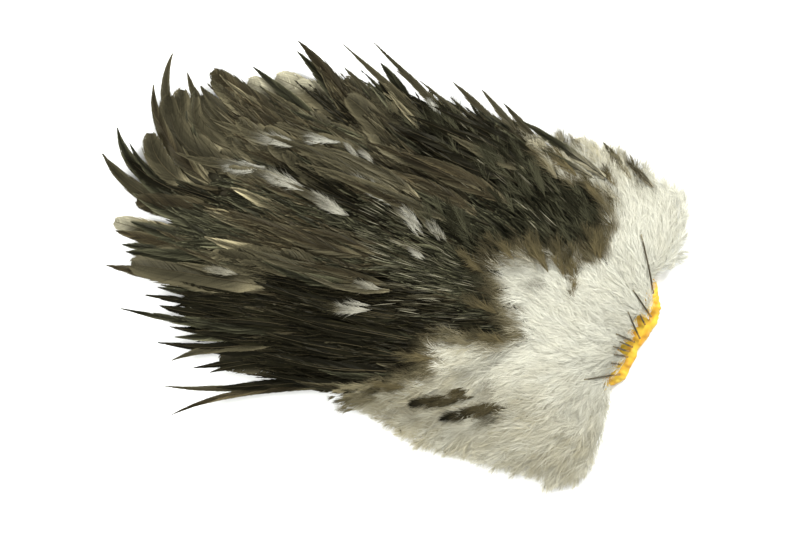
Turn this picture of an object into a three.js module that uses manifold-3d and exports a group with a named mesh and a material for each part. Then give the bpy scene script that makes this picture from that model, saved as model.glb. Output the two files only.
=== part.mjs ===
// A rooster saddle patch with its hackle feathers, lying flat: a piece of dried skin, the down that covers
// it, a layer of under hackles, the pointed hackles that lie over them in three tracts, and the bare quills
// along the cut edge. Millimetres, +Z up. The origin is on the skin's flat underside, the feathers point
// along -X and the cut edge of the skin is at +X.

import * as THREE from 'three';
import { mergeVertices } from 'three/addons/utils/BufferGeometryUtils.js';
import Module from 'manifold-3d';

const wasm = await Module();
wasm.setup();

// Driving dimensions
const GAP = 0.3;
const SKIN_THICKNESS = 1.2;
const LIP_THICKNESS = 2.6;
const FEATHER_THICKNESS = 0.7;
const FEATHER_EDGE = 0.28;
const LAYER_PITCH = 1.05;
const FEATHER_STEPS = 9;
const QUILL_RADIUS = 0.45;
const DOWN_HEIGHT = 17;
const TIP_HEIGHT = 0.9;

// How finely the low bodies are faceted: sides round the outline, and rings by their share of its reach.
const SKIN_MESH = { turns: 48, rings: [0.96, 0.87, 0.5] };
const DOWN_MESH = { turns: 44, rings: [0.93, 0.76, 0.5, 0.22] };
const UNDER_MESH = { turns: 44, rings: [0.9, 0.72, 0.4] };

// The plumage: its middle along X, its half length and half width, the height of its crown, and the rise
// toward the cut edge, which begins at one X and reaches down over some length.
const PELT = { middle: -62, long: 112, wide: 76, crown: 4.2, fall: 1.7, rise: 3.3, from: 14, over: 86 };

// The down's mound: the X of its ridge, how far it spreads behind and before that, and its half width.
const MOUND = { ridge: 17, behind: 24, before: 34, wide: 52, least: 4, lump: 0.5, bottom: 0.6 };

// A lock of down: its size, its depth in the mound, and its bend as a share of its length.
const LOCK = { length: 17, width: 9, thickness: 2.2, edge: 0.8, sunk: 1.6, bend: 0.12, steps: 2 };
const LOCK_FLOW_FROM = [30, 0];

// The locks round the rim, and the rows over the mound as shares of its reach, each by angles in degrees.
const RIM_LOCKS = { count: 36, from: -138, turn: 255, inset: 2.5, uneven: 4 };
const LOCK_ROWS = [{ share: 0.8, count: 13 }, { share: 0.56, count: 9 }, { share: 0.32, count: 5 }];
const ROW_ANGLES = { from: -120, turn: 230 };
const ROW_LIFT = 1.6;

// The stretch of the cut edge where the quills lie, which the locks leave free.
const QUILL_STRETCH = { x: 19, low: -24, high: 30 };

// The broad tips of the under hackles.
const BROAD_TIP = { width: 11, thickness: 1.1, edge: 0.4, steps: 4, from: 0.55, to: 0.92, sunk: 1.2 };

const COLOURS = {
  skin: 0xe8b83a,
  down: 0xe6e3cf,
  under_hackles: 0x6e6452,
  upper_hackle: 0x2d2d22,
  middle_hackle: 0x453f2e,
  lower_hackle: 0x1e1d14,
  quill: 0x4d473a,
};
const ROUGHNESS = { skin: 0.55, down: 0.9, under_hackles: 0.7, hackle: 0.45, quill: 0.5 };

// The skin's edge: the cut front edge in seven points, then the sides and back that lie under the feathers.
const SKIN_OUTLINE = [
  [34.2, -19.0], [38.2, -14.5], [38.8, -9.5], [38.6, -4.5], [41.3, 3.5], [41.7, 11.5], [38.6, 19.5],
  [24.0, 34.0], [0.0, 40.0], [-26.0, 37.0], [-42.0, 18.0], [-44.0, -6.0], [-34.0, -30.0], [-8.0, -40.0],
  [20.0, -34.0],
];
const SKIN_CENTRE = [0, 0];

// The down's edge on the table, from the bottom end of the cut edge round to its top end and back.
const DOWN_OUTLINE = [
  [33.0, -17.0], [33.4, -24.6], [34.0, -34.0], [37.0, -47.0], [34.0, -54.5], [26.0, -59.0], [8.0, -59.0],
  [-7.0, -61.5], [-22.0, -62.5], [-41.0, -58.5], [-60.0, -57.0], [-50.0, -34.0], [-46.0, 0.0],
  [-36.0, 34.0], [-22.0, 55.0], [-10.0, 60.5], [0.6, 62.0], [16.0, 58.5], [22.0, 55.0], [37.0, 55.0],
  [38.5, 47.0], [41.0, 33.5], [38.0, 24.5], [38.6, 12.0], [37.2, 4.0], [35.0, -8.0],
];
const DOWN_CENTRE = [8, 0];

// The under hackles' edge, inside the reach of the long hackles.
const UNDER_OUTLINE = [
  [-18, 44], [-38, 53], [-60, 55], [-84, 56], [-108, 52], [-132, 42], [-149, 24], [-153, 2], [-142, -22],
  [-128, -38], [-106, -51], [-86, -53], [-64, -52], [-40, -44], [-22, -30], [-14, 0],
];
const UNDER_CENTRE = [-72, 0];

// Hackles as [root x, root y, tip x, tip y, bow, width]: the bow is how far the middle of the feather lies
// to the left of its straight line, looking from root to tip.
const LONG_HACKLES = {
  upper: [
    [14, 41, -36, 63.4, 1, 6],
    [9, 34, -45.2, 65.2, 0, 7],
    [2, 35, -55.8, 64.5, -1, 7.5],
    [-3, 29, -67.5, 60.9, -2, 8],
    [-8, 31, -76.6, 61.6, -2, 8],
    [-13, 33, -88.2, 68.2, 0, 8],
    [-19, 31, -98.2, 63.9, 0, 8.5],
    [-26, 29, -114.5, 59.9, 5, 8.5],
    [-33, 25, -128.5, 46.6, 3, 8.5],
    [-36, 21, -141.5, 39.0, 2, 8.5],
  ],
  middle: [
    [-38, 17, -148.6, 35.7, 4, 8],
    [-40, 13, -155.5, 41.5, 8, 9],
    [-41, 9, -159.1, 27.8, 3, 9],
    [-42, 5, -166.4, 8.6, 2, 9],
    [-42, 0, -168.4, -1.3, -3, 9],
    [-41, -5, -156.2, -23.8, 3, 10],
    [-40, -9, -150.5, -31.8, 3, 9],
    [-38, -13, -152.4, -39.3, 4, 8],
  ],
  lower: [
    [-36, -17, -134.8, -45.0, 2, 8.5],
    [-34, -22, -141.5, -52.7, 4, 7.5],
    [-31, -26, -124.7, -59.7, 3, 8],
    [-28, -30, -118.9, -64.3, 3, 8],
    [-24, -33, -111.0, -64.2, 4, 8],
    [-26, -39, -117.2, -73.3, 3, 6],
    [-52, -52, -110.9, -82.0, -3, 4.5],
    [-20, -38, -100.5, -67.7, 3, 7.5],
  ],
};

// The shorter hackles of the top layer, rooted nearest the cut edge.
const SHORT_HACKLES = {
  upper: [
    [11, 45, -60, 54, -1, 7],
    [13, 38, -67, 48, -2, 7.5],
    [13, 30, -73, 43, -3, 8],
    [11, 22, -78, 34, -3, 8],
    [4, 15, -84, 26, -3, 8],
    [-8, 12, -95, 19, -2, 8],
  ],
  middle: [
    [-22, 13, -112, 24, -3, 8.5],
    [-26, 6, -118, 9, 0, 8.5],
    [-24, 0, -116, -6, 2, 8.5],
    [-20, -5, -108, -17, 3, 8.5],
  ],
  lower: [
    [-10, -11, -99, -27, 4, 8],
    [-4, -16, -93, -35, 4, 8],
    [-8, -22, -90, -43, 4, 8],
    [-14, -28, -88, -50, 4, 8],
    [-22, -35, -86, -57, 4, 7.5],
    [1, -37, -24, -53, 2, 6],
    [-12, -37, -36, -52, 2, 6],
    [-38, -44, -84, -62, 3, 6.5],
  ],
};

// The bare quills as [root x, root y, free x, free y], rooted in the cut edge of the skin.
const QUILLS = [
  [39.0, 10.0, 28.8, 16.6], [38.0, 6.5, 34.6, 9.3], [37.9, 1.2, 29.9, 8.6], [36.4, -0.6, 28.6, -0.2],
  [36.4, -2.6, 31.0, -2.4], [35.7, -4.6, 29.2, -4.8], [36.1, -6.5, 30.6, -7.4], [34.9, -10.0, 30.8, -10.6],
  [35.6, -13.4, 23.2, -19.5], [36.8, 18.2, 24.6, 36.4],
];

// Smooth height of the lowest hackle layer over the table: highest along the middle of the patch, low at
// the tips, and raised toward the cut edge, where the feathers grow out of the down.
function pelt(x, y) {
  const across = ((x - PELT.middle) / PELT.long) ** 2 + (y / PELT.wide) ** 2;
  const crown = PELT.crown * Math.exp(-PELT.fall * across);
  const back = Math.min(1, Math.max(0, (PELT.from - x) / PELT.over));
  const rise = PELT.rise * (1 + Math.cos(Math.PI * back)) * Math.exp(-((y / PELT.wide) ** 4));
  return TIP_HEIGHT + crown + rise;
}

// How far an outline reaches from its centre at an angle.
function reach(outline, centre, angle) {
  const dx = Math.cos(angle);
  const dy = Math.sin(angle);
  let best = 0;
  for (let i = 0; i < outline.length; i += 1) {
    const a = outline[i];
    const b = outline[(i + 1) % outline.length];
    const ax = a[0] - centre[0];
    const ay = a[1] - centre[1];
    const ex = b[0] - a[0];
    const ey = b[1] - a[1];
    const det = dx * ey - dy * ex;
    if (Math.abs(det) > 1e-9) {
      const along = (ax * ey - ay * ex) / det;
      const part = (ax * dy - ay * dx) / det;
      if (along > best && part >= 0 && part <= 1) best = along;
    }
  }
  return best;
}

// An outline rounded into a closed curve of many short sides.
function rounded(outline, sides = 160) {
  const corners = outline.map(([x, y]) => new THREE.Vector3(x, y, 0));
  const curve = new THREE.CatmullRomCurve3(corners, true, 'centripetal');
  return curve.getPoints(sides).slice(0, sides).map((p) => [p.x, p.y]);
}

function geometryOf(points, faces) {
  const geometry = new THREE.BufferGeometry();
  geometry.setAttribute('position', new THREE.Float32BufferAttribute(points.flat(), 3));
  geometry.setIndex(faces.flat());
  return geometry;
}

// A low body on a star-shaped outline: flat below, and above it follows topAt(x, y, share of the radius).
function lowBody(outline, centre, topAt, { turns, rings, bottom = 0, grow = 0 }) {
  const points = [];
  const faces = [];
  const shares = [1, ...rings];
  for (const level of [bottom, null]) {
    for (const share of level === null ? shares : [1]) {
      for (let i = 0; i < turns; i += 1) {
        const angle = (2 * Math.PI * i) / turns;
        const radius = (reach(outline, centre, angle) + grow) * share;
        const x = centre[0] + radius * Math.cos(angle);
        const y = centre[1] + radius * Math.sin(angle);
        points.push([x, y, level === null ? topAt(x, y, share) + grow : level]);
      }
    }
  }
  for (let ring = 0; ring < shares.length; ring += 1) {
    for (let i = 0; i < turns; i += 1) {
      const a = ring * turns + i;
      const b = ring * turns + ((i + 1) % turns);
      faces.push([a, b, b + turns], [a, b + turns, a + turns]);
    }
  }
  const below = points.length;
  points.push([centre[0], centre[1], bottom]);
  const above = points.length;
  points.push([centre[0], centre[1], topAt(centre[0], centre[1], 0) + grow]);
  const last = shares.length * turns;
  for (let i = 0; i < turns; i += 1) {
    const j = (i + 1) % turns;
    faces.push([below, j, i], [above, last + i, last + j]);
  }
  return geometryOf(points, faces);
}

// A pointed blade along a curve in plan. Each ring has a left edge, a ridge, a right edge and a keel; the
// edges lie a given height over the keel.
function blade(curve, halfWidthAt, keelAt, thickness, edgeHeight, steps) {
  const points = [];
  const faces = [[0, 2, 1], [0, 3, 2]];
  for (let i = 0; i < steps; i += 1) {
    const t = i / steps;
    const middle = curve.getPoint(t);
    const along = curve.getTangent(t);
    const half = halfWidthAt(t);
    const left = [middle.x - along.y * half, middle.y + along.x * half];
    const right = [middle.x + along.y * half, middle.y - along.x * half];
    const keel = keelAt(middle.x, middle.y, t);
    points.push([...left, keelAt(...left, t) + edgeHeight]);
    points.push([middle.x, middle.y, keel + thickness]);
    points.push([...right, keelAt(...right, t) + edgeHeight]);
    points.push([middle.x, middle.y, keel]);
  }
  const tip = points.length;
  const end = curve.getPoint(1);
  points.push([end.x, end.y, keelAt(end.x, end.y, 1) + edgeHeight]);
  for (let i = 0; i < steps; i += 1) {
    for (let k = 0; k < 4; k += 1) {
      const a = 4 * i + k;
      const b = 4 * i + ((k + 1) % 4);
      if (i === steps - 1) faces.push([a, b, tip]);
      else faces.push([a, b, b + 4], [a, b + 4, a + 4]);
    }
  }
  return geometryOf(points, faces);
}

function solid(geometry) {
  const plain = geometry.clone();
  plain.deleteAttribute('normal');
  plain.deleteAttribute('uv');
  const merged = mergeVertices(plain, 1e-4);
  return new wasm.Manifold(new wasm.Mesh({
    numProp: 3,
    vertProperties: new Float32Array(merged.attributes.position.array),
    triVerts: new Uint32Array(merged.index.array),
  }));
}

function geometryOfSolid(body) {
  const mesh = body.getMesh();
  const geometry = new THREE.BufferGeometry();
  geometry.setAttribute('position', new THREE.Float32BufferAttribute(mesh.vertProperties, 3));
  geometry.setIndex(Array.from(mesh.triVerts));
  return geometry;
}

// The largest of the pieces that a cut leaves.
function largest(body) {
  return body.decompose().reduce((best, piece) => (piece.volume() > best.volume() ? piece : best));
}

// The curve of a feather in plan.
function spine([rootX, rootY, tipX, tipY, bow]) {
  const root = new THREE.Vector2(rootX, rootY);
  const tip = new THREE.Vector2(tipX, tipY);
  const along = tip.clone().sub(root).normalize();
  const side = new THREE.Vector2(-along.y, along.x);
  const middle = root.clone().lerp(tip, 0.55).addScaledVector(side, 2 * bow);
  return new THREE.QuadraticBezierCurve(root, middle, tip);
}

// A hackle is narrow at its root, widest before its middle and runs out to a point.
function hackleHalfWidth(width) {
  const widest = 0.45;
  return (t) => {
    const rising = 0.28 + 0.72 * Math.sin((Math.PI / 2) * Math.min(1, t / widest));
    const falling = 1 - Math.max(0, (t - widest) / (1 - widest)) ** 1.9;
    return 0.5 * width * rising * falling;
  };
}

// An under hackle is broad and ends in a round tip.
function broadHalfWidth(width) {
  return (t) => 0.5 * width * Math.sqrt(1 - t ** 3);
}

// The cells of a 1 mm grid that a feather covers in plan, with a margin of one cell.
function cellsOf(feather) {
  const curve = spine(feather);
  const halfWidthAt = hackleHalfWidth(feather[5]);
  const cells = new Set();
  for (let i = 0; i <= 120; i += 1) {
    const t = i / 120;
    const p = curve.getPoint(t);
    const along = curve.getTangent(t);
    const half = halfWidthAt(t) + 1;
    for (let s = -half; s <= half; s += 0.5) {
      cells.add(`${Math.round(p.x - along.y * s)},${Math.round(p.y + along.x * s)}`);
    }
  }
  return cells;
}

// Each feather lies one layer above every feather that it covers. The long ones lie lowest, every second
// one first, and then the short ones.
function layered(tracts) {
  const laid = [];
  for (const group of tracts) {
    for (const parity of [0, 1]) {
      group.forEach((entry, i) => {
        if (i % 2 !== parity) return;
        const cells = cellsOf(entry.feather);
        const covered = laid.filter((other) => [...cells].some((cell) => other.cells.has(cell)));
        const layer = covered.reduce((most, other) => Math.max(most, other.layer + 1), 0);
        laid.push({ ...entry, cells, layer });
      });
    }
  }
  return laid;
}

function listed(tracts) {
  return Object.entries(tracts).flatMap(
    ([tract, feathers]) => feathers.map((feather) => ({ tract, feather })),
  );
}

function numbered(name, index) {
  return `${name}_${String(index + 1).padStart(2, '0')}`;
}

function hackleGeometry({ feather, layer }) {
  const keelAt = (x, y) => pelt(x, y) + GAP + layer * LAYER_PITCH;
  const halfWidthAt = hackleHalfWidth(feather[5]);
  return blade(spine(feather), halfWidthAt, keelAt, FEATHER_THICKNESS, FEATHER_EDGE, FEATHER_STEPS);
}

// The room around a hackle and above it, which the down leaves free. Its edges lie lower than the hackle's.
function hackleRoom({ feather, layer }) {
  const keelAt = (x, y) => pelt(x, y) + layer * LAYER_PITCH;
  const halfWidthAt = (t) => hackleHalfWidth(feather[5])(Math.min(t, 0.97)) + GAP;
  const curve = spine(feather);
  curve.v0.add(curve.getTangent(0).multiplyScalar(-2 * GAP));
  return solid(blade(curve, halfWidthAt, keelAt, 2 * DOWN_HEIGHT, FEATHER_EDGE / 3, FEATHER_STEPS));
}

// Where the hackles come out of the down: near the cut edge above and below the middle, where a tongue of
// down reaches back.
function hackleFront(y) {
  return 16 - 36 * Math.exp(-(((y - 4) / 13) ** 2)) - 0.02 * Math.max(0, -12 - y) ** 2;
}

// The height of the down's mound at a point, from its share of the outline's reach.
function mound(x, y, share) {
  const spread = x < MOUND.ridge ? MOUND.behind : MOUND.before;
  const along = Math.exp(-(((x - MOUND.ridge) / spread) ** 2));
  const across = Math.exp(-((Math.abs(y) / MOUND.wide) ** 4));
  const crest = MOUND.least + (DOWN_HEIGHT - MOUND.least - 1) * along * (0.45 + 0.55 * across);
  const lumps = MOUND.lump * (Math.sin(x * 0.31 + y * 0.12) + Math.sin(y * 0.27 - x * 0.08));
  const open = THREE.MathUtils.smoothstep(x - hackleFront(y), -14, 16);
  const top = (crest + lumps) * (1 - share ** 2.6) ** 0.7;
  return MOUND.bottom + Math.min(top, pelt(x, y) - 1 + DOWN_HEIGHT * open);
}

function moundAt(outline, x, y) {
  const angle = Math.atan2(y - DOWN_CENTRE[1], x - DOWN_CENTRE[0]);
  const radius = Math.hypot(x - DOWN_CENTRE[0], y - DOWN_CENTRE[1]);
  return mound(x, y, Math.min(1, radius / reach(outline, DOWN_CENTRE, angle)));
}

// Whether a point is near the skin's cut edge, where the quills lie.
function atCutEdge(x, y) {
  return x > QUILL_STRETCH.x && y > QUILL_STRETCH.low && y < QUILL_STRETCH.high;
}

// One pointed lock of down, which lies away from the cut edge of the skin and may rise to its tip.
function downLock(outline, x, y, length, lift) {
  const away = new THREE.Vector2(x - LOCK_FLOW_FROM[0], y - LOCK_FLOW_FROM[1]).normalize();
  const root = new THREE.Vector2(x, y).addScaledVector(away, -0.55 * length);
  const tip = new THREE.Vector2(x, y).addScaledVector(away, 0.45 * length);
  const side = new THREE.Vector2(-away.y, away.x).multiplyScalar(LOCK.bend * length);
  const curve = new THREE.QuadraticBezierCurve(root, root.clone().lerp(tip, 0.5).add(side), tip);
  const keelAt = (px, py, t) => Math.max(0.05, moundAt(outline, px, py) - LOCK.sunk + lift * t * t);
  const halfWidthAt = (t) => 0.5 * LOCK.width * (1 - t ** 1.8);
  return solid(blade(curve, halfWidthAt, keelAt, LOCK.thickness, LOCK.edge, LOCK.steps));
}

// The locks of down: a ring of them round the open rim and rows of them over the mound.
function downLocks(outline) {
  const locks = [];
  const place = (degrees, share, inset, length, lift) => {
    const angle = THREE.MathUtils.degToRad(degrees);
    const radius = reach(outline, DOWN_CENTRE, angle) * share - inset;
    const x = DOWN_CENTRE[0] + radius * Math.cos(angle);
    const y = DOWN_CENTRE[1] + radius * Math.sin(angle);
    if (!atCutEdge(x, y)) locks.push(downLock(outline, x, y, length, lift));
  };
  for (let i = 0; i < RIM_LOCKS.count; i += 1) {
    const degrees = RIM_LOCKS.from + (RIM_LOCKS.turn * i) / (RIM_LOCKS.count - 1);
    place(degrees, 1, RIM_LOCKS.inset, LOCK.length + RIM_LOCKS.uneven * Math.sin(3.7 * i), 0);
  }
  for (const { share, count } of LOCK_ROWS) {
    for (let i = 0; i < count; i += 1) {
      const degrees = ROW_ANGLES.from + (ROW_ANGLES.turn * (i + 0.5 * (count % 2))) / count;
      place(degrees, share, 0, LOCK.length, ROW_LIFT);
    }
  }
  return locks;
}

// The skin's top: thin under the feathers, and a thicker beaded lip along the cut edge.
function skinTop(x, y, share) {
  const front = THREE.MathUtils.smoothstep(x, 26, 34) * THREE.MathUtils.smoothstep(share, 0.75, 0.92);
  const beads = 0.25 * Math.sin(1.3 * y);
  const edge = share > 0.995 ? 0.45 : 1;
  return (SKIN_THICKNESS + front * (LIP_THICKNESS - SKIN_THICKNESS + beads)) * edge;
}

function skinGeometry() {
  return lowBody(rounded(SKIN_OUTLINE), SKIN_CENTRE, skinTop, SKIN_MESH);
}

function skinRoom() {
  const shape = { ...SKIN_MESH, bottom: -3, grow: GAP };
  return solid(lowBody(rounded(SKIN_OUTLINE), SKIN_CENTRE, skinTop, shape));
}

// A straight quill: a tapered shaft that lies on the down, cut off square at its free end.
function quillGeometry([rootX, rootY, freeX, freeY], outline, radius) {
  const lowest = LIP_THICKNESS + GAP;
  const heightAt = (x, y) => Math.max(lowest, moundAt(outline, x, y) + GAP) + QUILL_RADIUS + GAP;
  const stations = [0, 0.35, 0.7, 1].map((t) => {
    const x = THREE.MathUtils.lerp(rootX, freeX, t);
    const y = THREE.MathUtils.lerp(rootY, freeY, t);
    return new THREE.Vector3(x, y, heightAt(x, y));
  });
  const section = new THREE.Shape();
  section.absarc(0, 0, radius, 0, 2 * Math.PI, false);
  const path = new THREE.CatmullRomCurve3(stations);
  const geometry = new THREE.ExtrudeGeometry(section, { steps: 4, curveSegments: 6, extrudePath: path });
  geometry.deleteAttribute('normal');
  geometry.deleteAttribute('uv');
  return mergeVertices(geometry, 1e-4);
}

function underTop(x, y, share) {
  return Math.max(0.6, (pelt(x, y) - 0.1) * (1 - share ** 5) ** 0.5);
}

// The under hackles: a low body with broad feather tips fused round its rim, one between each two long
// hackles.
function underHackles(longFeathers, downRoom, skinSpace) {
  let body = solid(lowBody(rounded(UNDER_OUTLINE), UNDER_CENTRE, underTop, UNDER_MESH));
  const wide = longFeathers.filter(({ feather }) => feather[5] >= 7);
  for (let i = 0; i + 1 < wide.length; i += 1) {
    const a = wide[i].feather;
    const b = wide[i + 1].feather;
    const between = spine(a.map((value, k) => (value + b[k]) / 2));
    const [start, middle, end] = [BROAD_TIP.from, 0.5 * (BROAD_TIP.from + BROAD_TIP.to), BROAD_TIP.to]
      .map((t) => between.getPoint(t));
    const curve = new THREE.QuadraticBezierCurve(start, middle, end);
    const keelAt = (x, y) => Math.max(0.02, pelt(x, y) - BROAD_TIP.sunk);
    const halfWidthAt = broadHalfWidth(BROAD_TIP.width);
    const tip = blade(curve, halfWidthAt, keelAt, BROAD_TIP.thickness, BROAD_TIP.edge, BROAD_TIP.steps);
    body = body.add(solid(tip));
  }
  return largest(body.subtract(downRoom).subtract(skinSpace));
}

function addMesh(group, name, geometry, color, roughness) {
  const material = new THREE.MeshStandardMaterial({ color, roughness, metalness: 0 });
  const mesh = new THREE.Mesh(geometry, material);
  mesh.name = name;
  group.add(mesh);
}

function down(outline, hackles, skinSpace) {
  let body = solid(lowBody(outline, DOWN_CENTRE, mound, DOWN_MESH));
  for (const lock of downLocks(outline)) body = body.add(lock);
  body = body.subtract(skinSpace);
  for (const hackle of hackles) body = body.subtract(hackleRoom(hackle));
  for (const quill of QUILLS) {
    body = body.subtract(solid(quillGeometry(quill, outline, QUILL_RADIUS + GAP)));
  }
  return largest(body);
}

function saddle() {
  const group = new THREE.Group();
  const downEdge = rounded(DOWN_OUTLINE);
  const long = listed(LONG_HACKLES);
  const hackles = layered([long, listed(SHORT_HACKLES)]);
  const skinSpace = skinRoom();
  const downRoom = solid(lowBody(downEdge, DOWN_CENTRE, mound, { ...DOWN_MESH, bottom: -3, grow: GAP }));
  const downBody = geometryOfSolid(down(downEdge, hackles, skinSpace));
  const underBody = geometryOfSolid(underHackles(long, downRoom, skinSpace));

  addMesh(group, 'skin', skinGeometry(), COLOURS.skin, ROUGHNESS.skin);
  addMesh(group, 'down', downBody, COLOURS.down, ROUGHNESS.down);
  addMesh(group, 'under_hackles', underBody, COLOURS.under_hackles, ROUGHNESS.under_hackles);

  const counts = {};
  for (const entry of [...hackles].sort((a, b) => a.layer - b.layer)) {
    const base = `${entry.tract}_hackle`;
    counts[base] = counts[base] ?? 0;
    addMesh(group, numbered(base, counts[base]), hackleGeometry(entry), COLOURS[base], ROUGHNESS.hackle);
    counts[base] += 1;
  }
  QUILLS.forEach((quill, i) => {
    const shaft = quillGeometry(quill, downEdge, QUILL_RADIUS);
    addMesh(group, numbered('quill', i), shaft, COLOURS.quill, ROUGHNESS.quill);
  });
  return group;
}

export default saddle();
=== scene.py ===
"""A rooster saddle patch lying on a pale table, seen from straight above.

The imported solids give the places: every hackle solid is the guide of one fine feather, the feathers between
them follow the same flow, and the down's plumes grow over the down solid. Lengths are in millimetres until a
mesh is made, which is in metres.
"""

import math
from types import SimpleNamespace

import bmesh
import bpy
import numpy as np
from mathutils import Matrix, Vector
from mathutils.bvhtree import BVHTree


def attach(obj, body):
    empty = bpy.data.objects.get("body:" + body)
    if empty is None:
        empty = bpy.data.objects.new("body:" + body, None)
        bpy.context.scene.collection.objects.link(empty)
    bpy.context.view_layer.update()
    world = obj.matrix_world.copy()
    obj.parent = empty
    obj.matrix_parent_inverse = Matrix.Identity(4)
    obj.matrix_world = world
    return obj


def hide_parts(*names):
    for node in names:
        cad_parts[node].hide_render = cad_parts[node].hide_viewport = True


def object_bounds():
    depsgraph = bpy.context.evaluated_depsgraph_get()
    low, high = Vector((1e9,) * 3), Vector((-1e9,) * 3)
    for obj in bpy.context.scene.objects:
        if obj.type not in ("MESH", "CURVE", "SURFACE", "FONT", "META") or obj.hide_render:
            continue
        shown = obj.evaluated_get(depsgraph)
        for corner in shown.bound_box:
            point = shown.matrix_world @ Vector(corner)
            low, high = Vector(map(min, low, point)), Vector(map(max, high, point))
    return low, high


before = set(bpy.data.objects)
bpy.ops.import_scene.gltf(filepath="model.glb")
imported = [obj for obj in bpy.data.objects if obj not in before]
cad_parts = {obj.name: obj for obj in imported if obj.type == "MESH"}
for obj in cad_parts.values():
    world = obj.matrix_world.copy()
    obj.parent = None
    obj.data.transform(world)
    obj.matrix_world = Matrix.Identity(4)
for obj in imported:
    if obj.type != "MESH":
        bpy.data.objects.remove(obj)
cad_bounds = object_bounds()

MM = 0.001
SEED = 20
rng = np.random.default_rng(SEED)

# The photo's view: straight down, with the picture's long side turned away from X.
PICTURE_WIDTH = 800
TABLE_PER_PIXEL = 0.36
VIEW_CENTRE = (-52.6, -4.0)
VIEW_TURN = math.radians(20)
VIEW_HEIGHT = 900.0
VIEW_LEVEL = 8.0
SENSOR = 36.0

# How bright a white sheet under the lamps is, where 1 is the picture's white.
LIGHT_LEVEL = 1.6
ROOM_LIGHT = 0.92
LAMP_WIDTH = 0.5
FLOOR_HALF = 6.0
FLOOR_DROP = 0.2

NODES = sorted(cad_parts)
HACKLES = [name for name in NODES if "_hackle_" in name]
QUILLS = [name for name in NODES if name.startswith("quill_")]
TRACTS = ("upper", "middle", "lower")
CAD_LOW = np.array(cad_bounds[0]) / MM
CAD_HIGH = np.array(cad_bounds[1]) / MM
SKYWARD = np.array([0.0, 0.0, 1.0])

# Points along a feather's centre line, and along a hackle solid's line before a part of it is taken.
CENTRE_POINTS = 12
FINE_POINTS = 60
# The relief maps: the step between their places, how far they pass the solids, and where their rays start.
GRID_STEP = 2.0
GRID_MARGIN = 12.0
RAY_HEIGHT = 60.0
# How far apart feathers and plumes grow, and how low anything may lie.
FILL_SPACING = 2.85
UNDER_SPACING = 8.5
PLUME_SPACING = 2.5
LEAST_HEIGHT = 0.05
# A feather with a larger half width than this has finer barbs and a closer sheet.
BROAD_HALF = 2.6
FINE_ROWS = 9
PLAIN_ROWS = 6
# How low a shaft may lie, how little of a feather is still worth keeping, and how far under its barbs
# its sheet lies.
LOWEST_SHAFT = 0.9
SHORTEST_KEPT = 11
SHEET_DROP = 0.08
# How softly one flow gives way to the next, and how often each extra direction counts.
FLOW_SOFTNESS = 16.0
HINT_WEIGHT = 3
# Hackle solids whose tips pass this x lie loose in the down, and fill feathers short of it may be broad.
LOOSE_HACKLES_FROM = -37
BROAD_FILLS_TO = -80
# Hackle solids with tips above this y are slim, and those with a tip this near a single feather's make way.
SLIM_ABOVE = 55
SAME_TIP = 3.8
# Where the plumes part into an upper and a lower piece.
DOWN_PARTS_AT = 2

# Where the white down gives way to the dark hackles, from the upper rim round to the lower one.
DARK_EDGE = [
    (-40, 56), (-32, 55.1), (-21, 51), (-10.5, 47.1), (-0.5, 46.5), (8, 47.5), (12, 42), (14.5, 36), (13, 31),
    (14, 24), (9, 21), (3, 20), (-2, 18), (-8, 16), (-16, 13), (-24, 7.5), (-17, 1.8), (-12.5, -4),
    (-3.5, -12.4), (-10, -20), (-24, -20), (-32, -27), (-30, -36), (-40, -46), (-48, -49),
]
# The part of the plan where white down shows on top: upper rim, dark edge, lower rim and right rim.
DOWN_PATCH = [
    (36, 22), (41, 33), (38, 50), (36, 55), (22, 57), (10, 60), (-8, 59.5), (-24, 57.5), (-38, 57),
    *DARK_EDGE,
    (-56, -54), (-48, -54.5), (-38, -58), (-22, -61), (8, -58), (26, -58), (34, -54), (37, -47), (36, -38),
    (34.5, -30), (34, -17), (35.8, -11), (36.2, -5), (38, 0), (38.6, 7), (39.2, 11), (37.5, 18.5),
]
# The sides of the down next to the ends of the cut edge, where its hairs spread out.
LOWER_SIDE = [(34, -22), (34.5, -30), (36, -38), (37, -47), (34, -54)]
UPPER_SIDE = [(37, 24), (41, 33), (38, 50)]
# Brown feathers whose downy feet reach into the white, as (foot x, foot y, length, degrees, kind).
BROWN_FEET = [
    (10.3, 5.3, 18, 122, "brown"), (8.5, 10, 15, 116, "brown"), (4, 12, 14, 128, "brown"),
    (7.5, 11.5, 10, 122, "brown"), (14, 22, 10, 112, "brown"), (12, 23, 10, 118, "brown"),
    (-2, 12, 12, 135, "brown"), (-5, 14, 12, 140, "brown"), (-15, 12, 12, 150, "brown"),
    (-23, 4, 12, 160, "brown"), (-14, -8, 14, 172, "brown"), (-8, -17, 13, 182, "brown"),
    (-18, -21, 12, 190, "taupe"), (-30, -31, 12, 196, "brown"), (-36, -44, 14, 200, "brown"),
    (9, 42, 14, 150, "brown"), (12, 49, 8, 150, "brown"), (-4, 48, 14, 156, "brown"),
    (15, 54, 16, 144, "taupe"), (-46, -49, 20, 218, "taupe"), (-44, -51, 16, 214, "tan"),
    (-46, -47, 18, 206, "tan"),
]
# Where single feathers lie open and others keep clear, as (x, y, half length, half width, degrees).
CLEAR_PLACES = [
    (-139, 12, 15, 10, 110), (-150, 24, 16, 9, 100), (-124, -31, 22, 4.5, 187), (-158, 8, 12, 9, 120),
    (-116, 43, 16, 4, 168), (-150, 9, 8, 6, 140), (-103, -55, 10, 2.8, 212), (-98, -61.5, 8, 2.6, 214),
]
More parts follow.
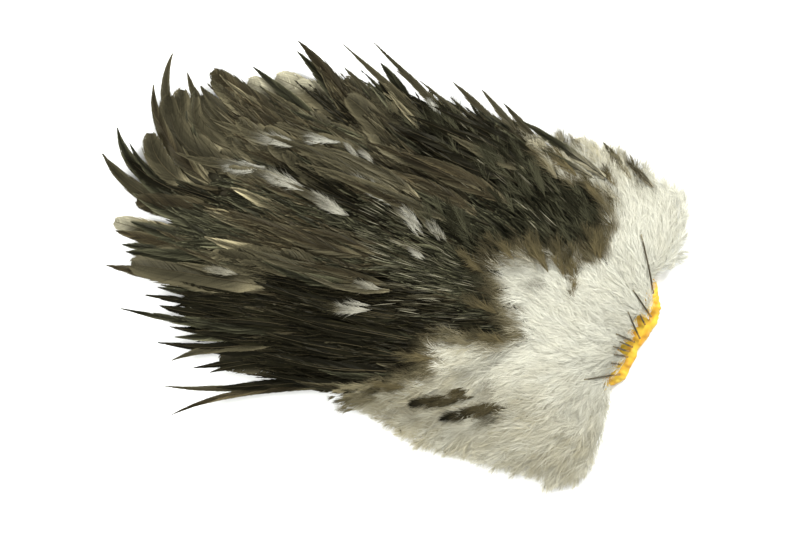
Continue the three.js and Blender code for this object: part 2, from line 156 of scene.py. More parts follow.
# Darker places of the down, brown feathers and painted shade, as (x, y, half length, half width, degrees,
# strength, kind).
DOWN_SHADES = [
    (-5, -30, 15, 4, 285, 0.6, "brown"),
    (0, -39, 6, 4, 200, 1.0, "brown"),
    (-12, -45, 13, 2.5, 215, 0.3, "black"),
    (-23, -42, 11, 2.5, 212, 0.3, "black"),
    (8, 49, 14, 3.5, 155, 1.0, "brown"),
    (18, 54, 10, 3, 150, 0.9, "brown"),
    (-6, 56, 11, 3, 155, 0.8, "brown"),
    (8, -36, 12, 6, 250, 0.25, "taupe"),
    (-2, 9, 9, 4, 125, 0.6, "brown"),
    (-40, -54, 20, 5, 200, 0.6, "brown"),
    (20, -52, 16, 5, 190, 0.3, "taupe"),
]
# The outline of the close plumage, which only the long spears pass. It closes through the down.
PLUMAGE_RIM = [
    (16, 56), (-14, 59), (-38, 60), (-52, 58), (-64, 58), (-81, 57), (-94, 51), (-107, 43), (-125, 38),
    (-142, 33), (-148, 31), (-155, 25), (-156, 18), (-152, 10), (-147, 1), (-151, -7), (-146, -14),
    (-150, -21), (-150, -28), (-141, -34), (-131, -36), (-129, -41), (-122, -44), (-117, -50), (-111, -54),
    (-101, -53), (-93, -57), (-94, -64), (-81, -61), (-70, -57), (-58, -55), (-45, -52), (0, -50),
    (30, -50), (30, 50),
]
# The cut front edge of the skin, which stays clear of down, and the place that the down lies away from.
CUT_EDGE = [
    (38.6, 19.5), (41.7, 11.5), (41.3, 3.5), (38.6, -4.5), (38.8, -9.5), (38.2, -14.5), (34.2, -19.0),
]
CUT_EDGE_CLEAR = 1.2
DOWN_FLOW_FROM = np.array([46.0, 0.0])

# Extra directions in which feathers lie, as (x, y, degrees).
FLOW_HINTS = [
    (-126, 7, 176), (-138, 8, 158), (-146, 17, 128), (-150, 26, 108), (-133, 20, 160), (-141, 28, 142),
    (-118, 26, 162), (-132, 35, 150), (-140, -3, 176), (-154, -3, 152), (2, 36, 150), (-10, 30, 146),
    (-4, 22, 143), (8, 26, 143), (-20, 40, 152), (-76, 39, 147), (-68, 50, 153), (-40, 6, 157),
    (-62, 15, 160), (-90, 9, 180), (-25, 20, 150), (-40, 30, 155),
]

# How the plumage is coloured over the plan, as (x, y, half length, half width, degrees, kind).
ZONES = [
    (-30, 44, 30, 8, 162, "black"),
    (-12, 32, 32, 16, 155, "charcoal"),
    (-32, 61, 10, 5, 155, "tan"),
    (-58, 52, 26, 6, 163, "black"),
    (4, 30, 10, 10, 140, "charcoal"),
    (-98, 42, 20, 4, 170, "black"),
    (-70, -37, 64, 17, 199, "black"),
    (-36, -30, 22, 13, 196, "black"),
    (-100, -44, 26, 11, 198, "black"),
    (-80, -20, 30, 4.5, 197, "black"),
    (-52, 42, 22, 7, 160, "black"),
    (-24, -14, 14, 7, 196, "charcoal"),
    (-140, -4, 22, 5, 174, "black"),
    (-158, 2, 12, 8, 150, "charcoal"),
    (-52, 2, 38, 8, 165, "charcoal"),
    (-82, 12, 30, 3.5, 170, "black"),
    (-36, 14, 18, 8, 150, "charcoal"),
    (-138, 16, 16, 11, 140, "taupe"),
    (-118, 27, 18, 8, 165, "brown"),
    (-112, 24, 16, 6, 165, "taupe"),
    (-94, 60, 14, 6, 150, "charcoal"),
    (-88, 47, 14, 6, 155, "brown"),
    (-80, 38, 13, 5, 145, "taupe"),
    (-71, 51, 8, 3, 155, "tan"),
    (-128, -30, 14, 4, 187, "taupe"),
    (-106, -8, 22, 7, 178, "brown"),
    (-98, -20, 16, 5, 190, "taupe"),
    (-66, 28, 12, 5, 150, "brown"),
    (-138, -14, 22, 10, 182, "charcoal"),
    (-124, -2, 20, 6, 178, "charcoal"),
    (-150, -34, 12, 6, 190, "brown"),
    (-128, -54, 20, 9, 200, "charcoal"),
    (-110, -74, 16, 7, 205, "tan"),
    (-12, 56, 20, 5, 165, "brown"),
    (-12, -45, 22, 9, 200, "brown"),
]
PLAIN_KINDS = {"charcoal": 0.35, "brown": 0.45, "taupe": 0.2}

# Pale downy bases that show between feathers, as (x, y, length, degrees, brightness).
PALE_TUFTS = [
    (-96, 29, 10, 190, 0.6), (-118, 10, 15, 200, 0.6), (-104, 10, 16, 184, 0.35), (-72, 18.5, 15, 165, 0.9),
    (-56, 14, 11, 152, 0.4), (-46, 12.5, 8, 140, 0.3), (-62, -15, 9, 188, 0.1), (-64, -24.5, 11, 196, 0.3),
    (-111, 22.5, 15, 192, 0.35), (-78, 30, 6, 160, 0.3), (-24, -26.5, 14, 195, 0.9),
    (-18, -29, 12, 200, 0.8), (-114, -28, 9, 188, 0.0), (-62, 55.5, 8, 150, 1.0), (-86, 8.5, 12, 172, 0.3),
    (-84, 30, 7, 150, 0.3), (-50, 3, 6, 165, 0.3),
]

# How far a hackle's fine tip runs on past its solid, and how much of it lies under its neighbours.
TIP_EXTRA = 2.2
HIDDEN_SHARE = 0.42

# Where loose dark webs lie over the front hackles, as (x, y, half length, half width, degrees, count).
LOOSE_WEBS = [(-12, 34, 24, 11, 162, 90), (-46, 44, 16, 8, 160, 40), (-30, 10, 18, 6, 150, 40)]
# The ways that the webs lie, in degrees.
WEB_TURNS = (136, 143, 150, 160)
# Where short pale glints, painted highlights on the glossy barbs, lie between the hackles, in the same terms
# as the webs.
GLINTS = [(-44, 2, 26, 12, 160, 110), (-34, -12, 20, 9, 170, 50), (-30, 36, 30, 12, 160, 30)]

# Single feathers that stand out, as (root x, root y, tip x, tip y, bow, half width, kind), with True
# after the kind where the tip is round.
SINGLE_FEATHERS = [
    (-92, 30, -128, 40, -2, 5.0, "pale", True),
    (-84, 36, -119, 45, -2, 5.0, "pale", True),
    (-78, 38, -111, 45, -2, 4.6, "pale", True),
    (-132, -3, -154, 11, 4, 4.4, "taupe", True),
    (-128, -19, -156, -24, 1, 4.0, "pale", True),
    (-118, -8, -156, -4, 3, 3.6, "charcoal"),
    (-118, -4, -160, 0, 4, 3.2, "black"),
    (-114, -12, -153, -12, 2, 3.4, "charcoal"),
    (-118, -6, -151, -14, 1, 4.6, "brown", True),
    (-112, -20, -154, -27, 1, 4.0, "brown"),
    (-110, -24, -148, -33, 0, 3.6, "charcoal"),
    (-108, -18, -150, -22, 1, 3.8, "charcoal"),
    (-114, -22, -150, -31, 0, 3.6, "charcoal"),
    (-112, -33, -153, -40, 0, 2.8, "brown"),
    (-94, -27, -145, -36.5, 0, 6.0, "taupe", True),
    (-124, -11, -168, -2, 5.0, 3.6, "taupe"),
    (-122, 0, -166, 9, 10.5, 4.0, "charcoal"),
    (-122, -3, -160, 5, 6, 2.4, "charcoal"),
    (-126, 0, -159, 28, 6, 3.2, "brown"),
    (-128, 2, -156, 41, 8, 3.0, "taupe"),
    (-115, 11, -152.5, 26, 10, 5.5, "taupe", True),
    (-120, 12, -148.5, 30, 9, 5.0, "taupe", True),
    (-123, 15, -143, 29, 6, 3.2, "taupe", True),
    (-126, 5, -144, 31, 6, 2.4, "charcoal"),
    (-112, 16, -149, 36, 5, 3.4, "taupe"),
    (-106, 22, -143, 33, 3, 4.0, "taupe"),
    (-104, 32, -141, 39.5, 2, 4.6, "brown", True),
    (-102, 32, -138, 39, 2, 1.6, "tan"),
    (-92, 33, -128, 46, 0, 2.4, "charcoal"),
    (-90, -7, -127, -9, 1, 2.6, "tan"),
    (-84, -14, -123, -18, 1, 2.8, "tan"),
    (-62, 30, -92, 47, -2, 4.6, "taupe", True),
    (-78, 38, -115.3, 60, -1, 3.2, "brown"),
    (-80, 36, -114.4, 56.4, -1, 2.8, "charcoal"),
    (-74, 44, -95.3, 56.5, -0.5, 1.8, "taupe"),
    (-66, 50, -84.5, 62.7, -0.5, 2.4, "charcoal"),
    (-80, -45, -119, -64.6, -2.9, 2.4, "taupe"),
    (-78, -47, -111, -64.4, 0, 1.9, "black"),
    (-74, -48, -104.5, -63.8, -1.3, 2.0, "black"),
    (-70, -54, -100.4, -67.8, 0.6, 2.2, "black"),
    (-76, -58, -119, -73.9, 1.3, 1.3, "taupe"),
    (-62, -54, -112.5, -83.3, -3.6, 1.6, "brown"),
    (-50, -48, -84, -61.5, -1.0, 2.4, "black"),
    (-56, 43, -81, 56, -2, 2.4, "tan"),
    (-80, -4, -120, 2, -1, 3.2, "tan"),
    (-70, 8, -115, 9, 2, 3.0, "brown"),
    (-84, -38, -124, -53, 2, 2.6, "black"),
    (-82, -42, -118, -58, 2, 2.8, "black"),
    (-90, -36, -130, -47, 2, 3.0, "black"),
    (-86, -40, -121, -56, 1, 2.6, "charcoal"),
    (7, 51, -30, 60.4, -0.5, 2.2, "charcoal"),
    (2, 49.5, -20, 53, 0, 1.5, "charcoal"),
    (15, 54, 1, 63.5, 0, 1.8, "taupe"),
    (24, 54, 11, 60, 0, 1.4, "brown"),
]


# Colours

def seen(red, green, blue):
    """The finish that looks this colour, out of 255, on the lit table."""
    share = np.array([red, green, blue]) / 255
    return np.where(share < 0.04045, share / 12.92, ((share + 0.055) / 1.055) ** 2.4) / LIGHT_LEVEL


BLACK = seen(16, 15, 5)
DUSK = seen(22, 20, 10)
SOOT = seen(38, 38, 26)
# A painted sheen: the grey-green highlights of glossy black feathers, laid into their colour.
PAINTED_GREEN_SHEEN = seen(86, 85, 65)
DARK_BROWN = seen(52, 45, 30)
BROWN = seen(72, 65, 47)
WARM_BROWN = seen(130, 118, 84)
TAUPE = seen(70, 66, 49)
TAN = seen(98, 92, 70)
STRAW = seen(152, 143, 112)
PALE = seen(184, 179, 152)
BEIGE = seen(199, 191, 160) * 1.2
WHITE = seen(251, 250, 232) * 1.15
YELLOW = seen(255, 214, 66) * 1.15
ORANGE = seen(232, 156, 30)
CREAM = seen(222, 196, 128)
QUILL_HORN = seen(70, 60, 40)
QUILL_ROOT = seen(170, 130, 60)
# The tint of light that the finishes throw back, and the colours of the room and the floor.
SHEEN = (1.0, 0.95, 0.72, 1)
ROOM_WHITE = (1.0, 1.0, 0.985, 1)
FLOOR_WHITE = (0.93, 0.94, 0.92, 1)
# How often a finish's streaks change along a barb, as a share of how often they do across it.
STREAK_SHARE = 0.14

# Each kind's middle, edge, downy base and shaft colours. The charcoal kind's edge is a painted grey-green
# sheen.
KINDS = {
    "black": (BLACK, DUSK, SOOT, BROWN),
    "charcoal": (SOOT, PAINTED_GREEN_SHEEN, BROWN, BLACK),
    "brown": (0.6 * DARK_BROWN + 0.4 * BROWN, TAUPE, TAN, DARK_BROWN),
    "taupe": (TAUPE, TAN, STRAW, BROWN),
    "tan": (TAUPE, STRAW, STRAW, TAN),
    "pale": (TAN, STRAW, TAUPE, TAN),
}


def mix(a, b, share):
    """A blend of two colours: the first where the share is 0, and the second where it is 1."""
    share = np.clip(np.asarray(share), 0, 1)[..., None]
    return a * (1 - share) + b * share


# Directions and places

def unit(vectors):
    """Vectors made one long."""
    return vectors / np.maximum(np.linalg.norm(vectors, axis=-1, keepdims=True), 1e-9)


def beside(way):
    """The directions in plan at right angles to some others, on their left."""
    return np.stack([-way[..., 1], way[..., 0]], axis=-1)


# Reading the solids

def vectors_of(vertices, field):
    """The places or the normals of a mesh's corners, as rows of three."""
    values = np.zeros(len(vertices) * 3)
    vertices.foreach_get(field, values)
    return values.reshape(-1, 3)


def corners(name):
    """A solid's corners in millimetres, each once."""
    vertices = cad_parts[name].data.vertices
    return np.unique(np.round(vectors_of(vertices, "co") / MM, 3), axis=0)


def spread(points, values, count):
    """Values along a line of points, again at evenly spaced places."""
    steps = np.linalg.norm(np.diff(points, axis=0), axis=1)
    along = np.concatenate([[0.0], np.cumsum(steps)])
    at = np.linspace(0, along[-1], count)
    return np.stack([np.interp(at, along, column) for column in values.T], axis=1)


def blade_guide(name):
    """The centre line of a hackle solid from root to tip, and its largest half width."""
    places = corners(name)
    tip_index = places[:, 0].argmin()
    tip = places[tip_index]
    rest = np.delete(places, tip_index, axis=0)
    chord = tip[:2] - rest[:, :2].mean(0)
    rings = rest[np.argsort(rest[:, :2] @ chord)].reshape(-1, 4, 3)
    centre = rings.mean(axis=1)
    half = np.linalg.norm(rings[:, :, None, :2] - rings[:, None, :, :2], axis=3).max() / 2
    line = np.vstack([centre, tip])
    return spread(line, line, CENTRE_POINTS), half


def tree_of(names):
    """A search tree over the faces of some solids, in millimetres."""
    places = []
    faces = []
    for name in names:
        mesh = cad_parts[name].data
        start = len(places)
        places += [tuple(v.co / MM) for v in mesh.vertices]
        faces += [[start + i for i in p.vertices] for p in mesh.polygons]
    return BVHTree.FromPolygons(places, faces)


def blurred(field):
    """A field smoothed over its neighbours."""
    wide = np.pad(field, 1, mode="edge")
    rows = wide[:-2] + 2 * wide[1:-1] + wide[2:]
    return (rows[:, :-2] + 2 * rows[:, 1:-1] + rows[:, 2:]) / 16


class Relief:
    """The smoothed height of some solids over the plan, and how far they cover it."""

    def __init__(self, names, smoothing):
        tree = tree_of(names)
        self.low = CAD_LOW[:2] - GRID_MARGIN
        high = CAD_HIGH[:2] + GRID_MARGIN
        shape = np.ceil((high - self.low) / GRID_STEP).astype(int) + 1
        height = np.zeros(shape)
        known = np.zeros(shape)
        for i, j in np.ndindex(*shape):
            x, y = self.low + np.array([i, j]) * GRID_STEP
            hit = tree.ray_cast(Vector((x, y, RAY_HEIGHT)), Vector((0, 0, -1)))[0]
            if hit is not None:
                height[i, j] = hit.z
                known[i, j] = 1.0
        self.cover = blurred(known)
        for _ in range(smoothing):
            height = blurred(height * known) / np.maximum(blurred(known), 1e-6)
            known = np.maximum(known, (blurred(known) > 0.02).astype(float))
        self.height = height

    def read(self, field, points):
        """A field's values at some places, worked out between the four grid places round each."""
        last = np.array(field.shape) - 1.001
        steps = np.clip((points[..., :2] - self.low) / GRID_STEP, 0, last)
        i, j = np.moveaxis(steps.astype(int), -1, 0)
        a = steps[..., 0] - i
        b = steps[..., 1] - j
        near = field[i, j] * (1 - b) + field[i, j + 1] * b
        far = field[i + 1, j] * (1 - b) + field[i + 1, j + 1] * b
        return near * (1 - a) + far * a

    def at(self, points):
        return self.read(self.height, points)

    def cover_at(self, points):
        return self.read(self.cover, points)


guides = {name: blade_guide(name) for name in HACKLES}
plumage_top = Relief(HACKLES + ["down", "under_hackles"], 4)
bed_top = Relief(["down", "under_hackles"], 4)
down_top = Relief(["down"], 3)
fluff_top = Relief(["down", "skin"], 3)
# The down's plumes lie at most a millimetre under the top of the plumage.
fluff_top.height = np.maximum(fluff_top.height, plumage_top.height - 1.0)
LOOSE_HACKLES = [name for name in HACKLES if guides[name][0][-1, 0] > LOOSE_HACKLES_FROM]
hackle_top = Relief([name for name in HACKLES if name not in LOOSE_HACKLES], 2)
# The two hackles that lie loose in the lower fluff.
SOFT_HACKLES = [name for name in LOOSE_HACKLES if guides[name][0][-1, 1] < 0]


def headings(degrees):
    """Directions in plan, from angles in degrees."""
    angle = np.radians(degrees)
    return np.stack([np.cos(angle), np.sin(angle)], axis=-1)


def flow_samples():
    """Places and directions: along every guide, and the extra ones as often as they count."""
    places = [line[:-1, :2] for line, _ in guides.values()]
    ways = [unit(np.diff(line[:, :2], axis=0)) for line, _ in guides.values()]
    hints = np.array(FLOW_HINTS * HINT_WEIGHT, float)
    return np.concatenate(places + [hints[:, :2]]), np.concatenate(ways + [headings(hints[:, 2])])


flow_places, flow_ways = flow_samples()


def flow(points):
    """The way the hackles lie at some places of the plan."""
    apart = ((points[:, None, :] - flow_places[None]) ** 2).sum(axis=2)
    weights = 1.0 / (apart + FLOW_SOFTNESS) ** 2
    return unit(weights @ flow_ways)


def inside(points, outline):
    """Which places lie inside an outline."""
    x = points[:, 0]
    y = points[:, 1]
    result = np.zeros(len(points), bool)
    for (ax, ay), (bx, by) in zip(outline, outline[1:] + outline[:1]):
        if ay != by:
            crosses = (ay > y) != (by > y)
            result ^= crosses & (x < ax + (bx - ax) * (y - ay) / (by - ay))
    return result


def distance_to(points, line):
    """How far some places are from an open line."""
    best = np.full(points.shape[:-1], np.inf)
    for a, b in zip(np.array(line[:-1], float), np.array(line[1:], float)):
        step = b - a
        share = np.clip(((points - a) @ step) / (step @ step), 0, 1)
        best = np.minimum(best, np.linalg.norm(points - a - share[..., None] * step, axis=-1))
    return best


def inside_depth(points):
    """How far inside the white down a place is from the dark edge: negative among the hackles."""
    flat = points.reshape(-1, 2)
    dark = inside(flat, PLUMAGE_RIM) & ~inside(flat, DOWN_PATCH)
    depth = distance_to(flat, DARK_EDGE) * np.where(dark, -1.0, 1.0)
    return depth.reshape(points.shape[:-1])


def turned(way, angle):
    """Directions in plan turned by an angle."""
    c = np.cos(angle)
    s = np.sin(angle)
    return np.stack([way[..., 0] * c - way[..., 1] * s, way[..., 0] * s + way[..., 1] * c], axis=-1)


def oval_distance(points, x, y, length, width, degrees):
    """How far some places are from an oval's middle, where 1 is its rim."""
    ahead = headings(degrees)
    step = points - np.array([x, y])
    return np.hypot(step @ ahead / length, step @ beside(ahead) / width)


def chance_place(x, y, length, width, degrees):
    """A place by chance in a turned box, given by its middle and its half sides."""
    ahead = headings(degrees)
    along = ahead * length * rng.uniform(-1, 1)
    return np.array([x, y]) + along + beside(ahead) * width * rng.uniform(-1, 1)


def kind_at(x, y):
    """The kind of feather that grows at a place: by the zones there, and by chance."""
    weights = {kind: 0.25 * share for kind, share in PLAIN_KINDS.items()}
    for zx, zy, length, width, degrees, kind in ZONES:
        inward = 1.25 - oval_distance(np.array([x, y]), zx, zy, length, width, degrees)
        weights[kind] = weights.get(kind, 0) + 12 * max(0.0, inward) ** 1.5
    kinds = list(weights)
    shares = np.array([weights[kind] for kind in kinds])
    return kinds[rng.choice(len(kinds), p=shares / shares.sum())]


# Joined meshes

class Batch:
    """Triangles of many small things, joined in one mesh. In the picture each thing has its own lane."""

    def __init__(self):
        self.parts = []
        self.count = 0
        self.lanes = 0

    def next_lane(self):
        self.lanes += 1

    def add(self, places, faces, tints, across, along, normals):
        places = places.reshape(-1, 3).copy()
        places[:, 2] = np.maximum(places[:, 2], LEAST_HEIGHT)
        lane = np.full(len(places), self.lanes)
        spots = np.stack([lane, np.ravel(across), np.ravel(along)], axis=1)
        self.parts.append((
            places, faces.reshape(-1, 3) + self.count, tints.reshape(-1, 3), spots, normals.reshape(-1, 3),
        ))
        self.count += len(places)

    def joined(self):
        return [np.concatenate([part[k] for part in self.parts]) for k in range(5)]


def lane_spots(spots, lanes):
    """Where each corner lies in the unwrapped picture, which has a square of lanes."""
    columns = math.ceil(math.sqrt(lanes + 1))
    lane = spots[:, 0].astype(int)
    u = (lane % columns + 0.5 + 0.47 * np.clip(spots[:, 1], -1, 1)) / columns
    v = (lane // columns + 0.03 + 0.94 * np.clip(spots[:, 2], 0, 1)) / columns
    return np.stack([u, v], axis=1)


def paint(mesh, tints):
    """Gives each corner of a mesh its own colour."""
    colours = mesh.color_attributes.new(name="tint", type="FLOAT_COLOR", domain="POINT")
    colours.data.foreach_set("color", np.hstack([tints, np.ones((len(tints), 1))]).ravel())


def unwrap(mesh, spots):
    """Gives each corner of a mesh its place in the unwrapped picture."""
    loops = np.zeros(len(mesh.loops), int)
    mesh.loops.foreach_get("vertex_index", loops)
    layer = mesh.uv_layers.new(name="OFBake")
    layer.data.foreach_set("uv", spots[loops].ravel())


def mesh_piece(name, batch, material, node_names, bent_normals=False):
    """An object of a batch, which may stand for some solids."""
    places, faces, tints, spots, normals = batch.joined()
    mesh = bpy.data.meshes.new(name)
    mesh.vertices.add(len(places))
    mesh.vertices.foreach_set("co", (places * MM).ravel())
    mesh.loops.add(len(faces) * 3)
    mesh.loops.foreach_set("vertex_index", faces.ravel())
    mesh.polygons.add(len(faces))
    mesh.polygons.foreach_set("loop_start", np.arange(len(faces)) * 3)
    mesh.update(calc_edges=True)
    mesh.shade_smooth()
    paint(mesh, tints)
    unwrap(mesh, lane_spots(spots, batch.lanes))
    if bent_normals:
        mesh.normals_split_custom_set_from_vertices(unit(normals))
    mesh.materials.append(material)
    piece = bpy.data.objects.new(name, mesh)
    bpy.context.scene.collection.objects.link(piece)
    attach(piece, "root")
    if node_names:
        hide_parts(*node_names)


def add_ribbons(batch, line, up, half_width, tilt, tints, across, along, normals=None):
    """Tapered strips along some lines, each turned about its own line by its tilt."""
    count, rings = line.shape[:2]
    forward = unit(np.gradient(line, axis=1))
    side = unit(np.cross(up, forward))
    turn = tilt[:, None, None]
    side = side * np.cos(turn) + np.cross(forward, side) * np.sin(turn)
    reach = side * half_width[..., None]
    pairs = np.stack([line - reach, line + reach], axis=2)[:, :-1].reshape(count, 2 * rings - 2, 3)
    places = np.concatenate([pairs, line[:, -1:]], axis=1)
    pattern = []
    for k in range(0, 2 * rings - 4, 2):
        pattern += [[k, k + 3, k + 1], [k, k + 2, k + 3]]
    last = 2 * rings - 4
    pattern.append([last, last + 2, last + 1])
    faces = np.arange(count)[:, None, None] * (2 * rings - 1) + np.array(pattern)[None]

    def doubled(field):
        return np.concatenate([np.repeat(field[:, :-1], 2, axis=1), field[:, -1:]], axis=1)

    if normals is None:
        normals = np.broadcast_to(up, line.shape)
    batch.add(places, faces, doubled(tints), doubled(across), doubled(along), doubled(normals))


# Materials

def set_inputs(node, values):
    """Sets some inputs of a node by their names."""
    for name, value in values.items():
        node.inputs[name].default_value = value


def grain_noise(material, grain, streaked):
    """The noise that breaks a finish up: fine streaks along the barbs, or soft patches in space."""
    nodes = material.node_tree.nodes
    links = material.node_tree.links
    noise = nodes.new("ShaderNodeTexNoise")
    set_inputs(noise, {"Detail": 3.0, "Scale": 1.0 if streaked else grain})
    if streaked:
        place = nodes.new("ShaderNodeUVMap")
        place.uv_map = "OFBake"
        stretch = nodes.new("ShaderNodeMapping")
        set_inputs(stretch, {"Scale": (grain, grain * STREAK_SHARE, 1.0)})
        links.new(place.outputs["UV"], stretch.inputs["Vector"])
        links.new(stretch.outputs["Vector"], noise.inputs["Vector"])
    else:
        place = nodes.new("ShaderNodeTexCoord")
        links.new(place.outputs["Object"], noise.inputs["Vector"])
    return noise.outputs["Fac"]


def tinted_material(name, roughness, specular, grain, depth, streaked):
    """A finish whose colour is the mesh's own tint, made lighter and darker by fine noise."""
    material = bpy.data.materials.new(name)
    material.use_nodes = True
    nodes = material.node_tree.nodes
    links = material.node_tree.links
    shader = nodes["Principled BSDF"]
    set_inputs(shader, {"Roughness": roughness, "Specular IOR Level": specular, "Specular Tint": SHEEN})
    tint = nodes.new("ShaderNodeAttribute")
    tint.attribute_name = "tint"
    level = nodes.new("ShaderNodeMapRange")
    set_inputs(level, {"From Min": 0.3, "From Max": 0.7, "To Min": 1.0 - depth, "To Max": 1.0 + depth})
    product = nodes.new("ShaderNodeVectorMath")
    product.operation = "SCALE"
    links.new(grain_noise(material, grain, streaked), level.inputs["Value"])
    links.new(tint.outputs["Color"], product.inputs[0])
    links.new(level.outputs["Result"], product.inputs["Scale"])
    links.new(product.outputs["Vector"], shader.inputs["Base Color"])
    return material


# Feathers

class Shaft:
    """A feather's centre line with its sideways and upward directions."""

    def __init__(self, centre, roll, camber):
        self.t = np.linspace(0, 1, len(centre))
        self.centre = centre
        self.along = unit(np.gradient(centre, axis=0))
        side = unit(np.cross(SKYWARD, self.along))
        up = np.cross(self.along, side)
        self.side = side * math.cos(roll) + up * math.sin(roll)
        self.up = np.cross(self.along, self.side)
        self.camber = camber
        self.length = np.linalg.norm(np.diff(centre, axis=0), axis=1).sum()

    def pick(self, field, t):
        return np.stack([np.interp(t, self.t, field[:, k]) for k in range(3)], axis=-1)

    def at(self, t, across, lift):
        """The place at a share of the length, so many millimetres sideways and up."""
        rise = lift - self.camber * across ** 2
        sideways = self.pick(self.side, t) * across[..., None]
        return self.pick(self.centre, t) + sideways + self.pick(self.up, t) * rise[..., None]


def spear_profile(t):
    """A hackle's half width as a share of its largest: narrow root, broad middle, long point."""
    rising = np.clip(0.5 + t * 1.6, 0, 1)
    return rising * np.clip(1.0 - np.clip((t - 0.42) / 0.58, 0, 1) ** 1.35, 0, 1)


def round_profile(t):
    """A broad feather's half width as a share of its largest, with a round tip."""
    rising = np.clip(0.45 + t * 1.5, 0, 1)
    return rising * np.sqrt(np.clip(1.0 - np.clip((t - 0.6) / 0.4, 0, 1) ** 2.4, 0, 1))


def feather_tints(kind, rim, base_end, tip_fade, base=None):
    """A feather's colour by place: middle and edge of its kind, a downy base, and a tip that may fade."""
    middle, edge, own_base, _ = KINDS[kind]
    own = rng.uniform(0.75, 1.3)
    fading = 0.12 if base is None else 0.5
    base = own_base if base is None else base
    tip, tip_start = (PALE, 0.6) if kind == "pale" else (TAN, 0.82)

    def tints(t, across):
        vane = mix(middle * own, edge * own, (across - rim) / 0.6)
        vane = mix(vane, tip, tip_fade * np.clip((t - tip_start) / 0.2, 0, 1))
        return mix(base, vane, (t - base_end) / fading + 0.5)
    return tints


# How far along a barb its corners are, and how wide it is there: on a broad feather, and on a narrow one.
BROAD_BARB = (np.array([0.0, 0.3, 0.65, 1.0]), np.array([0.8, 1.1, 0.85, 0.0]))
NARROW_BARB = (np.array([0.0, 0.45, 1.0]), np.array([0.8, 1.05, 0.0]))


def barb_chances(count):
    """Where a side's barbs leave the shaft, how far each clump and each barb strays, and its shade."""
    root = 0.02 + 0.95 * (np.arange(count) + rng.uniform(-0.3, 0.3, count)) / count
    clump = np.cumsum(rng.random(count) < 0.35)
    push = rng.normal(0, 1, clump[-1] + 1)[clump]
    own = rng.normal(0, 1, count)
    shade = rng.normal(0, 1, clump[-1] + 1)[clump] + 0.5 * own
    return root, push, own, shade


def barb_ends(root, push, own, reach):
    """How far along the feather each barb's end lies, from how far it leans forward."""
    advance = reach * np.clip(1 + 0.22 * push + 0.08 * own, 0.5, 1.6)
    left = 1.0 - root
    return root + left * (1 - np.exp(-advance / left))


def add_vane_side(batch, shaft, vane, side):
    """One side of a feather's vane: a row of barbs that leave the shaft and bend along it."""
    s, taper = BROAD_BARB if vane.half > BROAD_HALF else NARROW_BARB
    root, push, own, shade = barb_chances(vane.barbs)
    near = np.maximum(vane.profile(root), 0.3)
    tip = barb_ends(root, push, own, vane.lean * vane.half * near / shaft.length)
    t = root[:, None] + (tip - root)[:, None] * s[None]
    reach = np.clip(0.95 + vane.ragged * push + 0.5 * vane.ragged * own, 0.45, 1.25)
    share = (1 - (1 - s) ** 1.6)[None] * reach[:, None]
    rim = vane.half * (0.06 + 1.1 * vane.profile(t))
    out = np.minimum(np.maximum.accumulate(share * vane.half * vane.profile(t), axis=1), rim)
    lift = vane.loose * (0.6 * push + 0.4 * own)[:, None] * s[None] ** 1.3
    line = shaft.at(t, side * out, lift + 0.04)
    barb = np.maximum(np.hypot(out[:, -1], (tip - root) * shaft.length), 0.5)
    gap = shaft.length / vane.barbs * np.clip(out[:, -1] / barb, 0.12, 1.0)
    half_width = np.clip(0.85 * gap, 0.12, 0.42)[:, None] * taper[None]
    tilt = side * (-0.22 + min(8 * vane.ragged, 1.0) * (0.22 * push + 0.14 * own))
    up = shaft.pick(shaft.up, root)[:, None, :]
    tone = np.exp(vane.contrast * shade)[:, None] * (0.72 + 0.38 * s[None])
    colour = vane.tints(t, share) * tone[..., None]
    add_ribbons(batch, line, up, half_width, tilt, colour, side * share, t)


def strip_grid(batch, shaft, across, lift, tints, across_share, t):
    """A band along a shaft, whose rows of corners are given sideways and up."""
    rows, columns = across.shape
    grid_t = np.repeat(t[:, None], columns, axis=1)
    places = shaft.at(grid_t, across, lift)
    index = np.arange(rows * columns).reshape(rows, columns)
    quads = np.stack([index[:-1, :-1], index[:-1, 1:], index[1:, 1:], index[1:, :-1]], axis=-1)
    quads = quads.reshape(-1, 4)
    faces = np.concatenate([quads[:, [0, 3, 2]], quads[:, [0, 2, 1]]])
    normals = np.broadcast_to(shaft.pick(shaft.up, grid_t), places.shape)
    batch.add(places, faces, tints, across_share, grid_t, normals)


def add_sheet(batch, shaft, vane, closed):
    """The closed middle of a feather's vane, a little under its barbs, and darkened as painted shade in the
    gaps between them.
    """
    # The level darkens the sheet: painted shade where it shows between the barbs.
    share, level = (0.8, 0.62) if closed else (0.62, 0.5)
    t = np.linspace(0.03, 0.98, FINE_ROWS if vane.half > BROAD_HALF else PLAIN_ROWS)
    side = np.array([-share, 0.0, share])[None]
    grid_t = np.repeat(t[:, None], 3, axis=1)
    across = side * vane.half * vane.profile(grid_t)
    colour = vane.tints(grid_t, np.abs(side) + 0 * grid_t) * level
    lift = np.full(across.shape, -SHEET_DROP)
    strip_grid(batch, shaft, across, lift, colour, side + 0 * grid_t, t)


def add_rachis(batch, shaft, broad, colour):
    """A feather's own shaft: a ridge that thins out to the tip."""
    radius = 0.18 if broad else 0.12
    t = np.linspace(0.0, 0.95, FINE_ROWS if broad else PLAIN_ROWS)
    thick = (radius * (1.0 - 0.8 * t))[:, None]
    side = np.array([-1.0, 0.0, 1.0])[None]
    lift = thick * np.array([0.0, 1.4, 0.0])[None] + 0.10
    tints = np.broadcast_to(colour, (len(t), 3, 3))
    strip_grid(batch, shaft, thick * side, lift, tints, 0 * thick * side, t)


